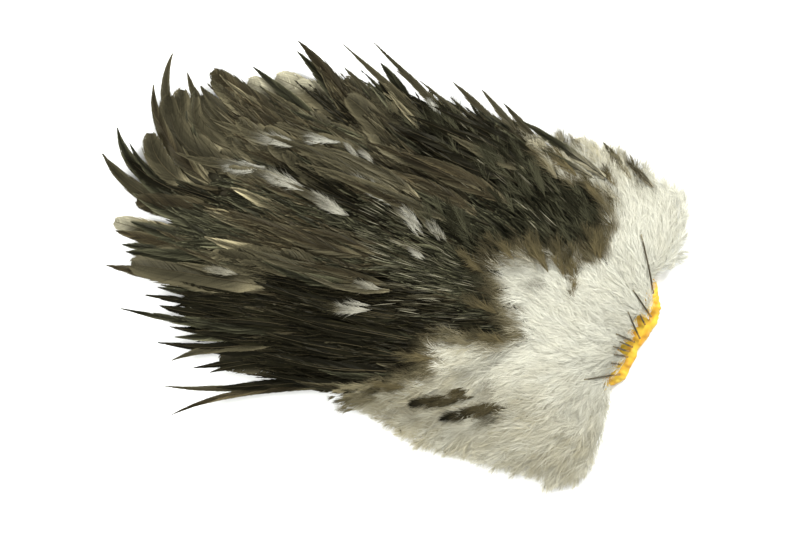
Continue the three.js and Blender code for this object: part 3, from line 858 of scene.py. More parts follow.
def add_feather(batch, centre, half, kind, barbs, round_tip=False, ragged=0.10, loose=0.16, base_end=None,
                base=None, closed=False):
    """One feather: its closed middle, its barbs and its shaft."""
    shaft = Shaft(centre, rng.normal(0, 0.14), 0.012 if round_tip else 0.03)
    base_end = rng.uniform(0.08, 0.2) if base_end is None else base_end
    tip_fade = rng.random() ** 2 * (0.2 if kind in ("black", "charcoal") else 0.6)
    tip_fade = 1.0 if kind == "pale" else tip_fade
    vane = SimpleNamespace(
        half=half,
        barbs=barbs,
        ragged=ragged,
        loose=loose,
        profile=round_profile if round_tip else spear_profile,
        contrast=0.09 if kind in ("taupe", "pale") else 0.36,
        tints=feather_tints(kind, rng.uniform(0.25, 0.6), base_end, tip_fade, base),
        lean=rng.uniform(2.6, 3.6) if round_tip else rng.uniform(4.5, 7.0),
    )
    batch.next_lane()
    add_sheet(batch, shaft, vane, closed)
    for side in (-1.0, 1.0):
        add_vane_side(batch, shaft, vane, side)
    add_rachis(batch, shaft, half >= BROAD_HALF, KINDS[kind][3] * rng.uniform(0.8, 1.5))


def settled(plan, start, end, lift):
    """A centre line in space: low among its neighbours at the root, and near the top at its tip."""
    bed = bed_top.at(plan)
    top = np.maximum(plumage_top.at(plan), bed)
    share = np.linspace(start, end, len(plan))
    z = np.maximum(bed + (top - bed) * share + lift, LOWEST_SHAFT)
    return np.column_stack([plan, z])


def back_paths(tips, lengths, turns):
    """Centre lines in plan that end at the tips and come down the flow from the root side."""
    points = [tips]
    for step in range(CENTRE_POINTS - 1):
        angle = turns * (1.0 - step / (CENTRE_POINTS - 1))
        way = turned(flow(points[-1]), angle)
        points.append(points[-1] - way * (lengths / (CENTRE_POINTS - 1))[:, None])
    return np.stack(points[::-1], axis=1)


def scattered(low, high, apart):
    """Places about evenly spread over a rectangle."""
    xs = np.arange(low[0], high[0], apart)
    ys = np.arange(low[1], high[1], apart * 0.87)
    gx, gy = np.meshgrid(xs, ys, indexing="ij")
    gx = gx + (np.arange(len(ys)) % 2)[None, :] * apart / 2
    points = np.stack([gx.ravel(), gy.ravel()], axis=1)
    return points + rng.uniform(-0.45, 0.45, points.shape) * apart


def kept_out_of_down(path):
    """A centre line without the part that would run on under the white down, or None if little is left."""
    white = inside(path[:, :2], DOWN_PATCH)
    white[-1] = False
    first = len(path) - 1 - np.argmax(white[::-1]) if white.any() else 0
    first = max(first - 1, 0)
    kept = path[first:]
    if np.linalg.norm(kept[0] - kept[-1]) < SHORTEST_KEPT:
        return None
    return spread(kept, kept, CENTRE_POINTS)


def keeps_clear(plan):
    """Whether a feather stays off the places where single feathers lie open."""
    return all(oval_distance(plan[4:], *place).min() >= 1 for place in CLEAR_PLACES)


def within_reach(plan, half):
    """Whether a feather's flanks keep inside the close plumage, and off the open places."""
    way = unit(np.gradient(plan, axis=0))
    side = beside(way) * half
    flanks = np.concatenate([(plan + side)[2:-3], (plan - side)[2:-3]])
    return keeps_clear(plan) and inside(flanks, PLUMAGE_RIM).all()


def tract_of(point):
    """Which of the three tracts a feather with its tip here belongs to."""
    if point[1] > 17 + 0.05 * (point[0] + 60):
        return "upper"
    return "middle" if point[1] > -14 + 0.06 * (point[0] + 60) else "lower"


def bowed(root, tip, bow):
    """A curved line in plan from a root to a tip, whose middle is pushed sideways."""
    t = np.linspace(0, 1, CENTRE_POINTS)[:, None]
    chord = tip - root
    middle = (root + tip) / 2 + unit(beside(chord)) * bow * 2 + chord * 0.12
    return (1 - t) ** 2 * root + 2 * t * (1 - t) * middle + t ** 2 * tip


def add_soft_blade(batch, line, half):
    """A hackle that lies loose in the fluff: soft parallel webs, brown at the foot and black at the tip."""
    chord = (line[-1] - line[0])[:2]
    aside = beside(unit(chord))
    tip = line[0, :2] + 0.9 * chord
    for share in np.linspace(0.02, 0.75, 20):
        wide = 0.75 * half * math.sin(math.pi * min(0.32 + 0.8 * share, 1.0))
        root = line[0, :2] + chord * share + aside * wide * rng.uniform(-1, 1)
        tint = mix(0.5 * WARM_BROWN, BLACK, 1.6 * share + rng.uniform(-0.3, 0.2))
        left = np.linalg.norm(tip - root)
        hair = min(rng.uniform(6, 9), 0.75 * left)
        way = (tip - root) / left
        add_plume(batch, root, way, 0.3 * hair, hair, 1.7, tint, hairs=40, ground=plumage_top, flare=0.08)


def add_neighbour(batch, fine, half, kind):
    """A shorter feather that lies over a hackle's root, a little to one side of it."""
    end = rng.uniform(0.74, 0.93)
    kept = fine[int(FINE_POINTS * (end - 0.4)): int(FINE_POINTS * end)]
    kept = spread(kept, kept, CENTRE_POINTS)
    kept[:, 2] += np.linspace(-0.8, 0.2, CENTRE_POINTS)
    way = unit(np.gradient(kept[:, :2], axis=0))
    aside = np.sin(np.linspace(0.3, 2.6, CENTRE_POINTS)) * rng.uniform(-1.0, 1.0) * half
    kept[:, :2] += beside(way) * aside[:, None]
    kept[:, 2] += rng.uniform(-0.2, 0.3)
    own_kind = kind if rng.random() < 0.6 else kind_at(*kept[-3, :2])
    own_half = half * rng.uniform(0.35, 0.6)
    if within_reach(kept[:, :2], own_half) and not inside(kept[:, :2], DOWN_PATCH).any():
        add_feather(batch, kept, own_half, own_kind, barbs=26, ragged=0.16, loose=0.22)


def add_guided(batch, line, half, kind):
    """The fine feather that follows a hackle solid, and three shorter ones over its root."""
    fine = spread(line, line, FINE_POINTS)
    shown = fine[int(FINE_POINTS * HIDDEN_SHARE):-1]
    main = kept_out_of_down(np.vstack([shown, line[-1] + unit(line[-1] - line[-2]) * TIP_EXTRA]))
    if main is None:
        return
    main[:, 2] += np.linspace(-0.9, 0.15, CENTRE_POINTS)
    slim = line[-1, 1] > SLIM_ABOVE
    own_half = half * (0.44 if slim else 0.68)
    add_feather(batch, main, own_half, "taupe" if slim else kind, barbs=40, base_end=0.0)
    for _ in range(3):
        add_neighbour(batch, fine, half, kind)


def add_guides(batches):
    """The feathers of the hackle solids, but where a single feather has the same tip."""
    single_tips = np.array([entry[2:4] for entry in SINGLE_FEATHERS], float)
    for name, (line, half) in guides.items():
        batch = batches[name.split("_")[0]]
        kind = kind_at(*line[-3, :2])
        if name in SOFT_HACKLES:
            add_soft_blade(batch, line, half)
        elif np.linalg.norm(single_tips - line[-1, :2], axis=1).min() >= SAME_TIP:
            add_guided(batch, line, half, kind)


def add_single(batches, root, tip, bow, half, kind, round_tip=False):
    """A feather that stands out: on top of the plumage, or on the down with a beige base."""
    plan = bowed(root, tip, bow)
    end = 0.45 if kind == "pale" else 1.0
    on_down = inside(plan[:1], DOWN_PATCH)[0]
    lift = np.linspace(2.0 if on_down else -0.6, -0.4 if kind == "pale" else 0.9, CENTRE_POINTS)
    centre = settled(plan, end if on_down else 0.25 * end, end, lift)
    add_feather(
        batches[tract_of(plan[-1])], centre, half, kind, barbs=60 if round_tip else 44, round_tip=round_tip,
        ragged=0.05, loose=0.06, base=BEIGE if on_down else None, closed=True,
    )


def add_fill(batches, path):
    """One feather of the layers between the solids, if it keeps off the down and the single feathers."""
    plan = kept_out_of_down(path)
    size = rng.random()
    if plan is None or not within_reach(plan, 0.8 + 1.5 * size):
        return
    centre = settled(plan, 0.05, rng.uniform(0.7, 1.05), rng.normal(0, 0.25))
    kind = kind_at(*plan[-3])
    broad = kind == "taupe" and plan[-1, 0] < BROAD_FILLS_TO and rng.random() < 0.35
    half = 2.8 + 1.6 * size if broad else 0.9 + 1.1 * size
    add_feather(
        batches[tract_of(plan[-1])], centre, half, kind, barbs=24 if broad else int(16 + 8 * size),
        round_tip=broad, ragged=0.12 if kind == "taupe" else 0.2, loose=0.25,
    )


def add_fills(batches):
    """The feathers that fill the layers between the solids, along the same flow."""
    tips = scattered(CAD_LOW, (16.0, CAD_HIGH[1]), FILL_SPACING)
    tips = tips[(plumage_top.cover_at(tips) > 0.4) & ~inside(tips, DOWN_PATCH)]
    lengths = rng.uniform(22, 46, len(tips))
    for path in back_paths(tips, lengths, rng.normal(0, 0.15, len(tips))):
        add_fill(batches, path)


def hackle_batches():
    """The three tracts: the solids' own feathers, the single ones, the fill and the pale tufts."""
    batches = {tract: Batch() for tract in TRACTS}
    add_guides(batches)
    for rx, ry, tx, ty, *looks in SINGLE_FEATHERS:
        add_single(batches, np.array([rx, ry], float), np.array([tx, ty], float), *looks)
    add_fills(batches)
    for x, y, length, degrees, brightness in PALE_TUFTS:
        add_tuft(batches[tract_of((x, y))], np.array([x, y]), degrees, length, brightness)
    return batches


def under_batch():
    """Broad round-tipped feathers of the lowest layer, which close the underside."""
    batch = Batch()
    tips = scattered(CAD_LOW, (0.0, CAD_HIGH[1]), UNDER_SPACING)
    tips = tips[bed_top.cover_at(tips) > 0.9]
    lengths = rng.uniform(30, 44, len(tips))
    for path in back_paths(tips, lengths, rng.normal(0, 0.08, len(tips))):
        if within_reach(path, 4.5):
            height = np.linspace(1.5, 0.5, CENTRE_POINTS) + rng.uniform(-0.2, 0.5)
            centre = np.column_stack([path, height])
            half = rng.uniform(4.5, 6.5)
            add_feather(batch, centre, half, "taupe", barbs=24, round_tip=True, ragged=0.04, loose=0.05)
    return batch


# Down

def down_tint(points):
    """How beige the down is over the plan: white in the middle, beige toward the lower and upper edges."""
    x = points[..., 0]
    y = points[..., 1]
    low = np.clip((-14 - y) / 24, 0, 1)
    high = np.clip((y - 42) / 12, 0, 1) * np.clip((34 - x) / 24, 0, 1)
    back = np.clip((-8 - x) / 30, 0, 1) * 0.5
    return np.clip(0.6 * low + 0.8 * high + back, 0, 1)


def shaded_down(tint, point):
    """A down tint with the darker places of the down worked in: brown feathers and painted shade."""
    for x, y, length, width, degrees, strength, kind in DOWN_SHADES:
        inward = np.clip(1.3 - oval_distance(point, x, y, length, width, degrees), 0, 1)
        tint = mix(tint, KINDS[kind][2], strength * inward * rng.uniform(0.7, 1.3))
    return tint


def tuft_fade(root, way, length, bright, ends):
    """A tint by place for a pale tuft: light where it comes out, and slowly darker along the feather."""
    def tint(plan):
        along = (plan - root) @ way / length
        across = (plan - root) @ beside(way) / 2.4
        shown = np.clip((along + 0.1) / 0.45, 0, 1) * np.clip(1.25 - along, 0, 1) ** 1.3
        return mix(ends, bright, shown * np.exp(-1.2 * across ** 2))
    return tint


def add_tuft(batch, middle, degrees, length, brightness):
    """The pale downy base of a feather that shows between its neighbours, and the vane that follows."""
    bright = mix(STRAW, WHITE, 0.3 + brightness)
    way = headings(degrees)
    root = middle - way * 0.6 * length
    plan = [root]
    for step in range(CENTRE_POINTS - 1):
        ahead = unit(way + 0.12 * step * flow(plan[-1][None])[0])
        plan.append(plan[-1] + ahead * 2.3 * length / (CENTRE_POINTS - 1))
    centre = settled(np.array(plan), 0.95, 1.0, 0.1)
    half = min(0.15 * length, 2.2)
    base = mix(TAUPE, bright, 0.55)
    on_down = inside(middle[None], DOWN_PATCH)[0]
    ends = BEIGE if on_down else mix(DARK_BROWN, TAUPE, 0.5)
    if not on_down:
        add_feather(batch, centre, half, "taupe", barbs=36, ragged=0.25, loose=0.3, base_end=0.25, base=base)
    for _ in range(6):
        own_way = turned(way, rng.normal(0, 0.08))
        start = root + way * rng.uniform(-0.25, 0.3) * length + rng.normal(0, 0.6, 2)
        tint = tuft_fade(start, own_way, length, bright, ends)
        shaft = length * 0.7
        hair = 0.5 * length
        add_plume(batch, start, own_way, shaft, hair, 0.4, tint, hairs=36, ground=plumage_top, flare=0.1)


def edge_fade(pale, shift):
    """A tint by place for hairs at the dark edge: pale in the down, then tan, then dark brown."""
    dark = mix(SOOT, BROWN, rng.random())
    middle = mix(mix(BROWN, WARM_BROWN, 0.4), STRAW, rng.random())

    def tint(plan):
        depth = inside_depth(plan) + shift
        return mix(mix(dark, middle, (depth + 6) / 5), pale, (depth + 0.5) / 4.5)
    return tint


# How far along a hair its corners are, and how wide it is there as a share of its half width.
HAIR_STEPS = np.array([0.0, 0.28, 0.6, 1.0])
HAIR_TAPER = np.array([1.0, 0.9, 0.65, 0.0])
HAIR_HALF = 0.075


def hair_plan(root, way, length, hair, s, sign, flare):
    """The lines in plan of a plume's hairs: they leave both sides of a soft shaft and curl."""
    hairs = len(s)
    swell = 0.7 + 0.4 * np.sin(math.pi * np.clip(s + 0.15, 0, 1))
    strand = hair * swell * rng.uniform(0.7, 1.2, hairs)
    angle = sign * (flare * (1 - s) + 0.12) * rng.uniform(0.6, 1.15, hairs) + rng.normal(0, 0.08, hairs)
    curl = sign * rng.uniform(-0.55, 0.05, hairs) + rng.normal(0, 0.22, hairs) + rng.normal(0, 0.15)
    heading = angle[:, None] + curl[:, None] * HAIR_STEPS[None]
    heading = heading + 0.16 * np.sin(rng.uniform(0, 6.3, hairs)[:, None] + 8 * HAIR_STEPS[None])
    stride = np.diff(HAIR_STEPS, prepend=0.0)[None] * strand[:, None]
    ahead = np.cumsum(np.cos(heading) * stride, axis=1) + (s * length)[:, None]
    out = np.cumsum(np.sin(heading) * stride, axis=1)
    plan = root + ahead[..., None] * way + out[..., None] * beside(way)
    open_air = 1 - np.clip(bed_top.cover_at(plan[:, -1]) * 1.3, 0, 1)
    return root + (plan - root) * (1 - rng.uniform(0.2, 0.6) * open_air)[:, None, None]


def hair_heights(plan, lift, s, ground):
    """How high the hairs lie: on what is below them, rising to their tips, and clear of bare quills."""
    edge = np.clip(ground.cover_at(plan) * 1.6, 0, 1)
    rise = (lift * rng.uniform(0.15, 1.0, len(s)))[:, None]
    z = np.maximum(ground.at(plan) * edge, 0.35) + rise * (0.2 + 0.8 * HAIR_STEPS[None] ** 0.8)
    z = z + 0.3 * lift * s[:, None]
    z = z + np.clip(1 - distance_to(plan, CUT_EDGE) / 6, 0, 1)
    return np.minimum(z, ceiling_at(plan))


def hair_normals(plan, ground):
    """Normals that follow the ground more than the hairs, so that a plume is lit as one soft body."""
    east = np.array([2, 0])
    north = np.array([0, 2])
    slope_x = ground.at(plan - east) - ground.at(plan + east)
    slope_y = ground.at(plan - north) - ground.at(plan + north)
    normals = np.stack([0.35 * slope_x / 4, 0.35 * slope_y / 4, np.ones(slope_x.shape)], axis=-1)
    normals[..., :2] += rng.normal(0, 0.2, (len(plan), 1, 2)) + rng.normal(0, 0.08, 2)
    return normals


def add_plume(batch, root, way, length, hair, lift, tint, hairs, ground, flare=0.75):
    """A small downy feather: wavy hairs that fan out from a soft shaft and lift off the ground below.

    The length is the shaft's, the hair is one hair's, and the flare is the angle of the first hairs.
    """
    s = np.linspace(0.0, 1.0, hairs)
    sign = np.where(np.arange(hairs) % 2 == 0, -1.0, 1.0)
    plan = hair_plan(root, way, length, hair, s, sign, flare)
    line = np.concatenate([plan, hair_heights(plan, lift, s, ground)[..., None]], axis=2)
    half_width = HAIR_HALF * rng.uniform(0.7, 1.3, hairs)[:, None] * HAIR_TAPER[None]
    shade = rng.uniform(0.84, 1.06, hairs)[:, None, None]
    tint = tint(plan) if callable(tint) else tint
    # Each hair is darker toward its root: painted shade where it lies deep in the fluff.
    colour = np.broadcast_to(tint, line.shape) * shade * (0.84 + 0.2 * HAIR_STEPS[None, :, None])
    normals = hair_normals(plan, ground)
    share = sign[:, None] * np.linspace(0.15, 0.9, 4)[None]
    along = np.repeat(s[:, None], 4, axis=1)
    batch.next_lane()
    add_ribbons(batch, line, SKYWARD, half_width, rng.normal(0, 0.5, hairs), colour, share, along, normals)


def add_glint(batch, root, way, length, tint):
    """One or two thin pale ribbons on top of the plumage: painted highlights on the glossy barbs."""
    t = np.linspace(0, 1, 4)
    batch.next_lane()
    for _ in range(rng.integers(1, 3)):
        own_way = turned(way, rng.normal(0, 0.06))
        plan = root + rng.normal(0, 0.4, 2) + own_way * length * t[:, None]
        z = plumage_top.at(plan) + rng.uniform(0.3, 1.1)
        line = np.column_stack([plan, z])[None]
        width = 0.07 * rng.uniform(0.7, 1.3) * np.array([[0.2, 1.0, 0.9, 0.0]])
        colour = np.broadcast_to(tint * rng.uniform(0.7, 1.1), line.shape)
        add_ribbons(batch, line, SKYWARD, width, rng.normal(0, 0.3, 1), colour, t[None] * 0, t[None])


def quill_lines():
    """The centre line of every bare quill, from its end in the skin to its cut end."""
    lines = {}
    for name in QUILLS:
        places = corners(name)
        apart = distance_to(places[:, :2], CUT_EDGE)
        near = places[apart.argmin()]
        far = places[np.linalg.norm(places - near, axis=1).argmax()]
        order = np.argsort((places - near)[:, :2] @ (far - near)[:2])
        rings = np.array_split(places[order], 5)
        centre = np.array([ring.mean(0) for ring in rings])
        lines[name] = spread(centre, centre, 9)
    return lines


quills = quill_lines()
quill_points = np.concatenate(list(quills.values()))
# How far round their middle the quills reach, and a height that no hair comes to.
QUILLS_REACH = 24
OPEN_SKY = 40.0


def ceiling_at(plan):
    """How high down may rise: anywhere but near a bare quill, which it leaves uncovered."""
    flat = plan.reshape(-1, 2)
    ceiling = np.full(len(flat), OPEN_SKY)
    near = (np.abs(flat - quill_points[:, :2].mean(0)) < QUILLS_REACH).all(axis=1)
    if near.any():
        apart = np.linalg.norm(flat[near][:, None] - quill_points[None, :, :2], axis=2)
        below = quill_points[apart.argmin(axis=1), 2] - 0.45
        ceiling[near] = np.where(apart.min(axis=1) < 0.8, below, OPEN_SKY)
    return ceiling.reshape(plan.shape[:-1])


def half_of(y):
    """Which of the two pieces of down a plume belongs to."""
    return "upper" if y > DOWN_PARTS_AT else "lower"


def down_way(root, swirl):
    """The way a plume lies: away from the cut edge in soft swirls, and spread out at both sides."""
    bend = 0.22 * math.sin(root[0] / 7 + swirl[0]) + 0.22 * math.sin(root[1] / 6 + swirl[1])
    way = turned(unit(root - DOWN_FLOW_FROM), bend + rng.normal(0, 0.16))
    for side, lean in ((LOWER_SIDE, 0.3), (UPPER_SIDE, -0.45)):
        if distance_to(root[None], side)[0] < 6:
            way = turned(way, rng.normal(lean, 0.45))
    return way


def add_bed_plume(batches, root, swirl, blades):
    """One plume of the white down, which lies lower over a loose hackle."""
    way = down_way(root, swirl)
    beige = down_tint(root) * rng.uniform(0.5, 1.2) + rng.uniform(-0.1, 0.22)
    tint = mix(WHITE, BEIGE, beige)
    deep = distance_to(root[None], DARK_EDGE)[0] > 9
    tint = shaded_down(tint, root) if deep else edge_fade(tint, rng.normal(0, 1.6))
    near = np.linalg.norm(blades - root, axis=1).min() < 2.0
    lift = 0.7 if near else rng.uniform(0.6, 2.6)
    hairs = 22 if near else 40
    batch = batches[half_of(root[1])]
    add_plume(batch, root, way, rng.uniform(4, 7), rng.uniform(5, 8), lift, tint, hairs, fluff_top)


def add_bed_plumes(batches):
    """The white down, plume by plume, in no order."""
    roots = scattered((-72.0, -66.0), (44.0, 66.0), PLUME_SPACING)
    roots = roots[inside(roots, DOWN_PATCH)]
    roots = roots[rng.permutation(len(roots))]
    blades = np.concatenate([guides[name][0] for name in LOOSE_HACKLES])[:, :2]
    swirl = rng.uniform(0, 6.3, 4)
    for root in roots:
        if distance_to(root[None], CUT_EDGE)[0] >= CUT_EDGE_CLEAR:
            add_bed_plume(batches, root, swirl, blades)


def add_glints(batch):
    """Painted highlights: thin pale barbs between the front hackles."""
    for *box, count in GLINTS:
        for _ in range(count):
            root = chance_place(*box)
            if inside_depth(root[None])[0] < -2:
                way = flow(root[None])[0]
                add_glint(batch, root, way, rng.uniform(4, 9), mix(TAUPE, PALE, rng.random() ** 2))


def add_edge_plumes(batches):
    """Plumes along the dark edge, so that the down gives way to the hackles little by little."""
    edge = np.array(DARK_EDGE, float)
    reach = np.linalg.norm(np.diff(edge, axis=0), axis=1).sum()
    for point in spread(edge, edge, int(reach / 2.0)):
        for offset in (rng.uniform(-2, 1), rng.uniform(0, 4), rng.uniform(3, 8)):
            common = unit(flow(point[None])[0] + unit(point - DOWN_FLOW_FROM))
            way = unit(turned(common, rng.normal(0, 0.25)))
            root = point + way * offset + rng.normal(0, 1.2, 2)
            tint = edge_fade(mix(WHITE, BEIGE, rng.random()), rng.normal(0, 2.0))
            if bed_top.cover_at(root + way * 6) > 0.97 and -50 < root[1] < 48:
                foot = root - way * 4
                batch = batches[half_of(root[1])]
                hair = rng.uniform(5, 8)
                add_plume(batch, foot, way, 4, hair, 1.0, tint, hairs=20, ground=plumage_top, flare=0.5)


def add_brown_foot(batch, x, y, length, degrees, kind):
    """The downy foot of a brown feather, which runs from warm brown out into the white."""
    foot = WARM_BROWN if kind == "brown" else KINDS[kind][2]
    for share in np.linspace(0.0, 0.7, 8):
        way = headings(degrees + rng.normal(0, 4))
        aside = beside(way) * rng.uniform(-2.8, 2.8) * share
        tint = mix(foot, KINDS[kind][1], share + rng.uniform(-0.2, 0.4))
        root = np.array([x, y]) + way * length * share + aside
        hair = rng.uniform(5, 7)
        add_plume(batch, root, way, 2, hair, 2.6, tint, hairs=28, ground=plumage_top, flare=0.3)


def add_loose_webs(batch):
    """Dark downy webs that lie loose over the front hackles."""
    for *box, count in LOOSE_WEBS:
        for _ in range(count):
            root = chance_place(*box)
            if inside_depth(root[None])[0] <= -2.5:
                way = turned(headings(rng.choice(WEB_TURNS)), rng.normal(0, 0.12))
                # The webs run from black to the painted grey-green sheen.
                tint = mix(BLACK, PAINTED_GREEN_SHEEN * 1.2, rng.random())
                hair = rng.uniform(5, 9)
                add_plume(batch, root, way, 5, hair, 0.7, tint, hairs=16, ground=plumage_top, flare=0.3)


def plume_batches():
    """The down's plumes, the loose hairs that lie on the hackles, and the painted glints on them."""
    batches = {"upper": Batch(), "lower": Batch()}
    add_bed_plumes(batches)
    add_glints(batches["upper"])
    add_edge_plumes(batches)
    for entry in BROWN_FEET:
        add_brown_foot(batches[half_of(entry[1])], *entry)
    add_loose_webs(batches["upper"])
    return batches


# Solid bodies with a finer skin

def drop_crumbs(mesh):
    """Takes away all but the largest connected part of a mesh."""
    work = bmesh.new()
    work.from_mesh(mesh)
    unseen = set(work.verts)
    parts = []
    while unseen:
        part = [unseen.pop()]
        for vertex in part:
            for edge in vertex.link_edges:
                other = edge.other_vert(vertex)
                if other in unseen:
                    unseen.remove(other)
                    part.append(other)
        parts.append(part)
    parts.sort(key=len)
    crumbs = [vertex for part in parts[:-1] for vertex in part]
    bmesh.ops.delete(work, geom=crumbs, context="VERTS")
    work.to_mesh(mesh)
    work.free()


def remeshed(piece, voxel):
    """The finer mesh of a piece: even small faces, smoothed, and without crumbs."""
    remesh = piece.modifiers.new("fine", "REMESH")
    remesh.mode = "VOXEL"
    remesh.voxel_size = voxel * MM
    piece.modifiers.new("soft", "SMOOTH").iterations = 3
    bpy.context.view_layer.update()
    evaluated = piece.evaluated_get(bpy.context.evaluated_depsgraph_get())
    fine = bpy.data.meshes.new_from_object(evaluated)
    piece.modifiers.clear()
    drop_crumbs(fine)
    return fine


def plan_spots(places, normals):
    """Places in the unwrapped picture: the upper side in its left half and the lower in its right."""
    low = places[:, :2].min(0)
    size = (places[:, :2].max(0) - low).max()
    spots = (places[:, :2] - low) / size
    spots[:, 0] = spots[:, 0] * 0.49 + np.where(normals[:, 2] < 0, 0.5, 0.0)
    return spots


def fine_copy(name, new_name, voxel, material, shape, tint_of):
    """A finer copy of a solid: remeshed, each corner moved, and tinted by place."""
    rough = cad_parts[name].data.copy()
    piece = bpy.data.objects.new(new_name, rough)
    bpy.context.scene.collection.objects.link(piece)
    fine = remeshed(piece, voxel)
    piece.data = fine
    bpy.data.meshes.remove(rough)
    fine.name = new_name
    normals = vectors_of(fine.vertices, "normal")
    places = shape(vectors_of(fine.vertices, "co") / MM, normals)
    places[:, 2] = np.maximum(places[:, 2], 0.0)
    fine.vertices.foreach_set("co", (places * MM).ravel())
    paint(fine, tint_of(places, normals))
    while fine.uv_layers:
        fine.uv_layers.remove(fine.uv_layers[0])
    unwrap(fine, plan_spots(places, normals))
    fine.materials.clear()
    fine.materials.append(material)
    fine.shade_smooth()
    fine.update()
    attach(piece, "root")
    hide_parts(name)


def ripple(places, scale, seed):
    """A smooth uneven field in about -1 to 1, from a few crossed waves."""
    waves = np.random.default_rng(seed)
    total = np.zeros(len(places))
    for _ in range(7):
        way = unit(waves.normal(0, 1, 3))
        total += np.sin((places @ way) * scale * waves.uniform(0.6, 1.6) + waves.uniform(0, 6.3))
    return total / 3.5


def skin_shape(places, normals):
    """Lumpy at the cut front edge, and nearly smooth behind it."""
    front = np.clip(1 - distance_to(places[:, :2], CUT_EDGE) / 6, 0, 1)
    push = (0.08 + 0.55 * front) * ripple(places, 1.1, 3) + 0.4 * front * ripple(places, 2.6, 4)
    return places + normals * push[:, None]


def skin_tint(places, normals):
    """Yellow with orange knots at the cut edge, and cream farther back."""
    knots = np.clip(0.4 + 0.9 * ripple(places, 1.7, 5), 0, 1)
    tint = mix(YELLOW, ORANGE, 0.8 * knots)
    back = distance_to(places[:, :2], CUT_EDGE)
    return mix(tint, CREAM, np.clip((back - 6) / 12, 0, 1) * 0.8)


def down_shape(places, normals):
    """Sunk under its plumes, most of all at the rim, and uneven on top."""
    up = np.clip(normals[:, 2], 0, 1)
    rim = np.clip(1 - down_top.cover_at(places), 0, 1)
    places = places * np.array([0.97, 0.97, 1.0])
    push = -0.5 - 3.5 * rim + 0.5 * up * ripple(places, 0.9, 6) + 0.25 * up * ripple(places, 2.2, 7)
    return places + normals * push[:, None]


def down_bed_tint(places, normals):
    """As white or beige as its plumes, and brown where only hackles cover it."""
    bed = mix(WHITE, BEIGE, down_tint(places[:, :2]) + 0.15) * 0.9
    hidden = (hackle_top.cover_at(places) > 0.5) & ~inside(places[:, :2], DOWN_PATCH)
    return np.where(hidden[:, None], mix(DARK_BROWN, BROWN, 0.3 + 0 * places[:, 0]), bed)


def under_shape(places, normals):
    """Drawn in from the rim, so that only feathers reach it."""
    middle = np.array([-68.0, 0.0, 1.6])
    drawn = middle + (places - middle) * np.array([0.84, 0.82, 0.72])
    return drawn + normals * (0.3 * ripple(places, 0.8, 8))[:, None]


def under_tint(places, normals):
    """Dark and a little uneven."""
    return mix(SOOT, DARK_BROWN, 0.5 + 0.4 * ripple(places, 0.5, 9))


# Quills

QUILL_SIDES = 12
QUILL_RADII = (0.38, 0.24)
QUILL_BORE = 0.66


def tube_faces(count):
    """The faces between so many rings of a quill, with both ends closed."""
    index = np.arange(count * QUILL_SIDES).reshape(count, QUILL_SIDES)
    a = index[:-1]
    b = index[1:]
    beside_a = np.roll(a, -1, 1)
    beside_b = np.roll(b, -1, 1)
    walls = [np.stack([a, beside_a, beside_b], -1), np.stack([a, beside_b, b], -1)]
    ends = [[index[-1, 0], index[-1, k], index[-1, k + 1]] for k in range(1, QUILL_SIDES - 1)]
    ends += [[index[0, 0], index[0, k + 1], index[0, k]] for k in range(1, QUILL_SIDES - 1)]
    return np.concatenate([wall.reshape(-1, 3) for wall in walls] + [np.array(ends)])


def add_quill(batch, centre):
    """A bare cut shaft with a hollow free end."""
    along = unit(np.gradient(centre, axis=0))
    side = unit(np.cross(SKYWARD, along))
    up = np.cross(along, side)
    turn = np.linspace(0, 2 * math.pi, QUILL_SIDES, endpoint=False)
    circle = side[:, None] * np.cos(turn)[:, None] + up[:, None] * np.sin(turn)[:, None]
    radius = np.linspace(*QUILL_RADII, len(centre))[:, None, None]
    outer = centre[:, None] + circle * radius
    inner = centre[-3:, None] + circle[-3:] * (radius[-3:] * QUILL_BORE)
    rings = np.concatenate([outer, inner[::-1]])
    tints = np.broadcast_to(QUILL_HORN, rings.shape).copy()
    tints[len(outer) - 1] = STRAW
    tints[:2] = QUILL_ROOT
    t = np.repeat(np.linspace(0, 1, len(rings))[:, None], QUILL_SIDES, axis=1)
    batch.next_lane()
    batch.add(rings, tube_faces(len(rings)), tints, np.cos(turn) + 0 * t, t, rings * 0 + SKYWARD)


def quill_batch():
    batch = Batch()
    for centre in quills.values():
        add_quill(batch, centre)
    return batch


# Camera, floor and light

def make_camera():
    data = bpy.data.cameras.new("camera")
    data.sensor_width = SENSOR
    data.lens = SENSOR * VIEW_HEIGHT / (PICTURE_WIDTH * TABLE_PER_PIXEL)
    camera = bpy.data.objects.new("camera", data)
    camera.location = (VIEW_CENTRE[0] * MM, VIEW_CENTRE[1] * MM, (VIEW_LEVEL + VIEW_HEIGHT) * MM)
    camera.rotation_euler = (0, 0, VIEW_TURN)
    bpy.context.scene.collection.objects.link(camera)
    bpy.context.scene.camera = camera


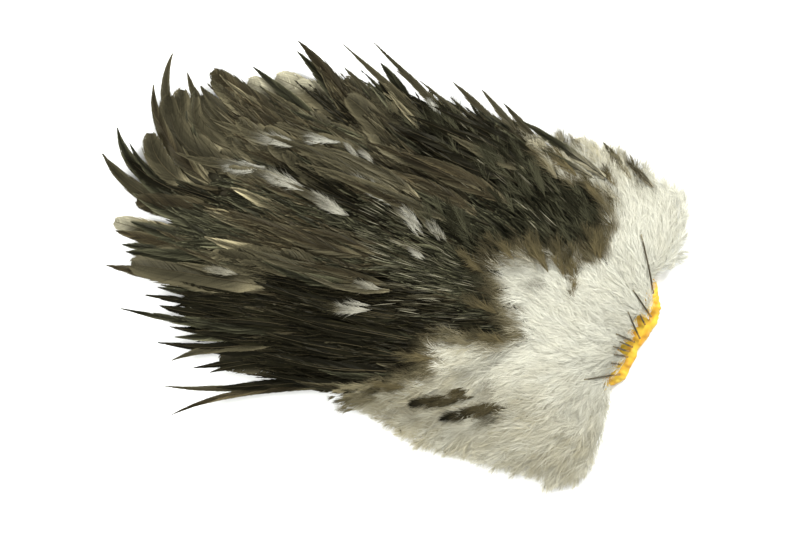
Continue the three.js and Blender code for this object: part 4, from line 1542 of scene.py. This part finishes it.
def make_floor():
    mesh = bpy.data.meshes.new("floor")
    rim = [(x * FLOOR_HALF, y * FLOOR_HALF, 0) for x, y in ((-1, -1), (1, -1), (1, 1), (-1, 1))]
    mesh.from_pydata(rim, [], [(0, 1, 2, 3)])
    floor = bpy.data.objects.new("floor", mesh)
    material = bpy.data.materials.new("floor")
    material.use_nodes = True
    shader = material.node_tree.nodes["Principled BSDF"]
    set_inputs(shader, {"Base Color": FLOOR_WHITE, "Roughness": 0.9, "Specular IOR Level": 0.1})
    mesh.materials.append(material)
    floor.location.z = -FLOOR_DROP * MM
    bpy.context.scene.collection.objects.link(floor)


def add_softbox(name, place, energy):
    data = bpy.data.lights.new(name, "AREA")
    data.shape = "SQUARE"
    data.size = LAMP_WIDTH
    data.energy = energy
    lamp = bpy.data.objects.new(name, data)
    lamp.location = place
    way = Vector((VIEW_CENTRE[0] * MM, VIEW_CENTRE[1] * MM, 0)) - lamp.location
    lamp.rotation_euler = way.to_track_quat("-Z", "Y").to_euler()
    bpy.context.scene.collection.objects.link(lamp)


def make_light():
    world = bpy.data.worlds.new("soft white room")
    world.use_nodes = True
    set_inputs(world.node_tree.nodes["Background"], {"Color": ROOM_WHITE, "Strength": ROOM_LIGHT})
    bpy.context.scene.world = world
    add_softbox("softbox behind", (0.1, 0.95, 0.75), 19.7)
    add_softbox("softbox beside", (-0.95, -0.35, 0.7), 13.5)
    bpy.context.scene.view_settings.view_transform = "Standard"


make_camera()
make_floor()
make_light()

feather_finish = tinted_material("satin feather", 0.42, 0.085, 600.0, 0.3, True)
web_finish = tinted_material("soft web", 0.6, 0.2, 400.0, 0.25, True)
down_finish = tinted_material("down", 0.95, 0.1, 500.0, 0.05, False)
bed_finish = tinted_material("matted down", 0.95, 0.1, 400.0, 0.2, False)
skin_finish = tinted_material("dried skin", 0.45, 0.5, 300.0, 0.12, False)
quill_finish = tinted_material("quill", 0.35, 0.5, 1500.0, 0.2, False)

for tract, batch in hackle_batches().items():
    names = [name for name in HACKLES if name.startswith(tract)]
    mesh_piece(f"{tract}_hackle_feathers", batch, feather_finish, names)
mesh_piece("under_feathers", under_batch(), web_finish, [])
for part, batch in plume_batches().items():
    mesh_piece(f"{part}_down_plumes", batch, down_finish, [], bent_normals=True)
mesh_piece("cut_quills", quill_batch(), quill_finish, QUILLS)
fine_copy("skin", "skin_hide", 0.6, skin_finish, skin_shape, skin_tint)
fine_copy("down", "down_bed", 1.1, bed_finish, down_shape, down_bed_tint)
fine_copy("under_hackles", "under_bed", 1.2, web_finish, under_shape, under_tint)
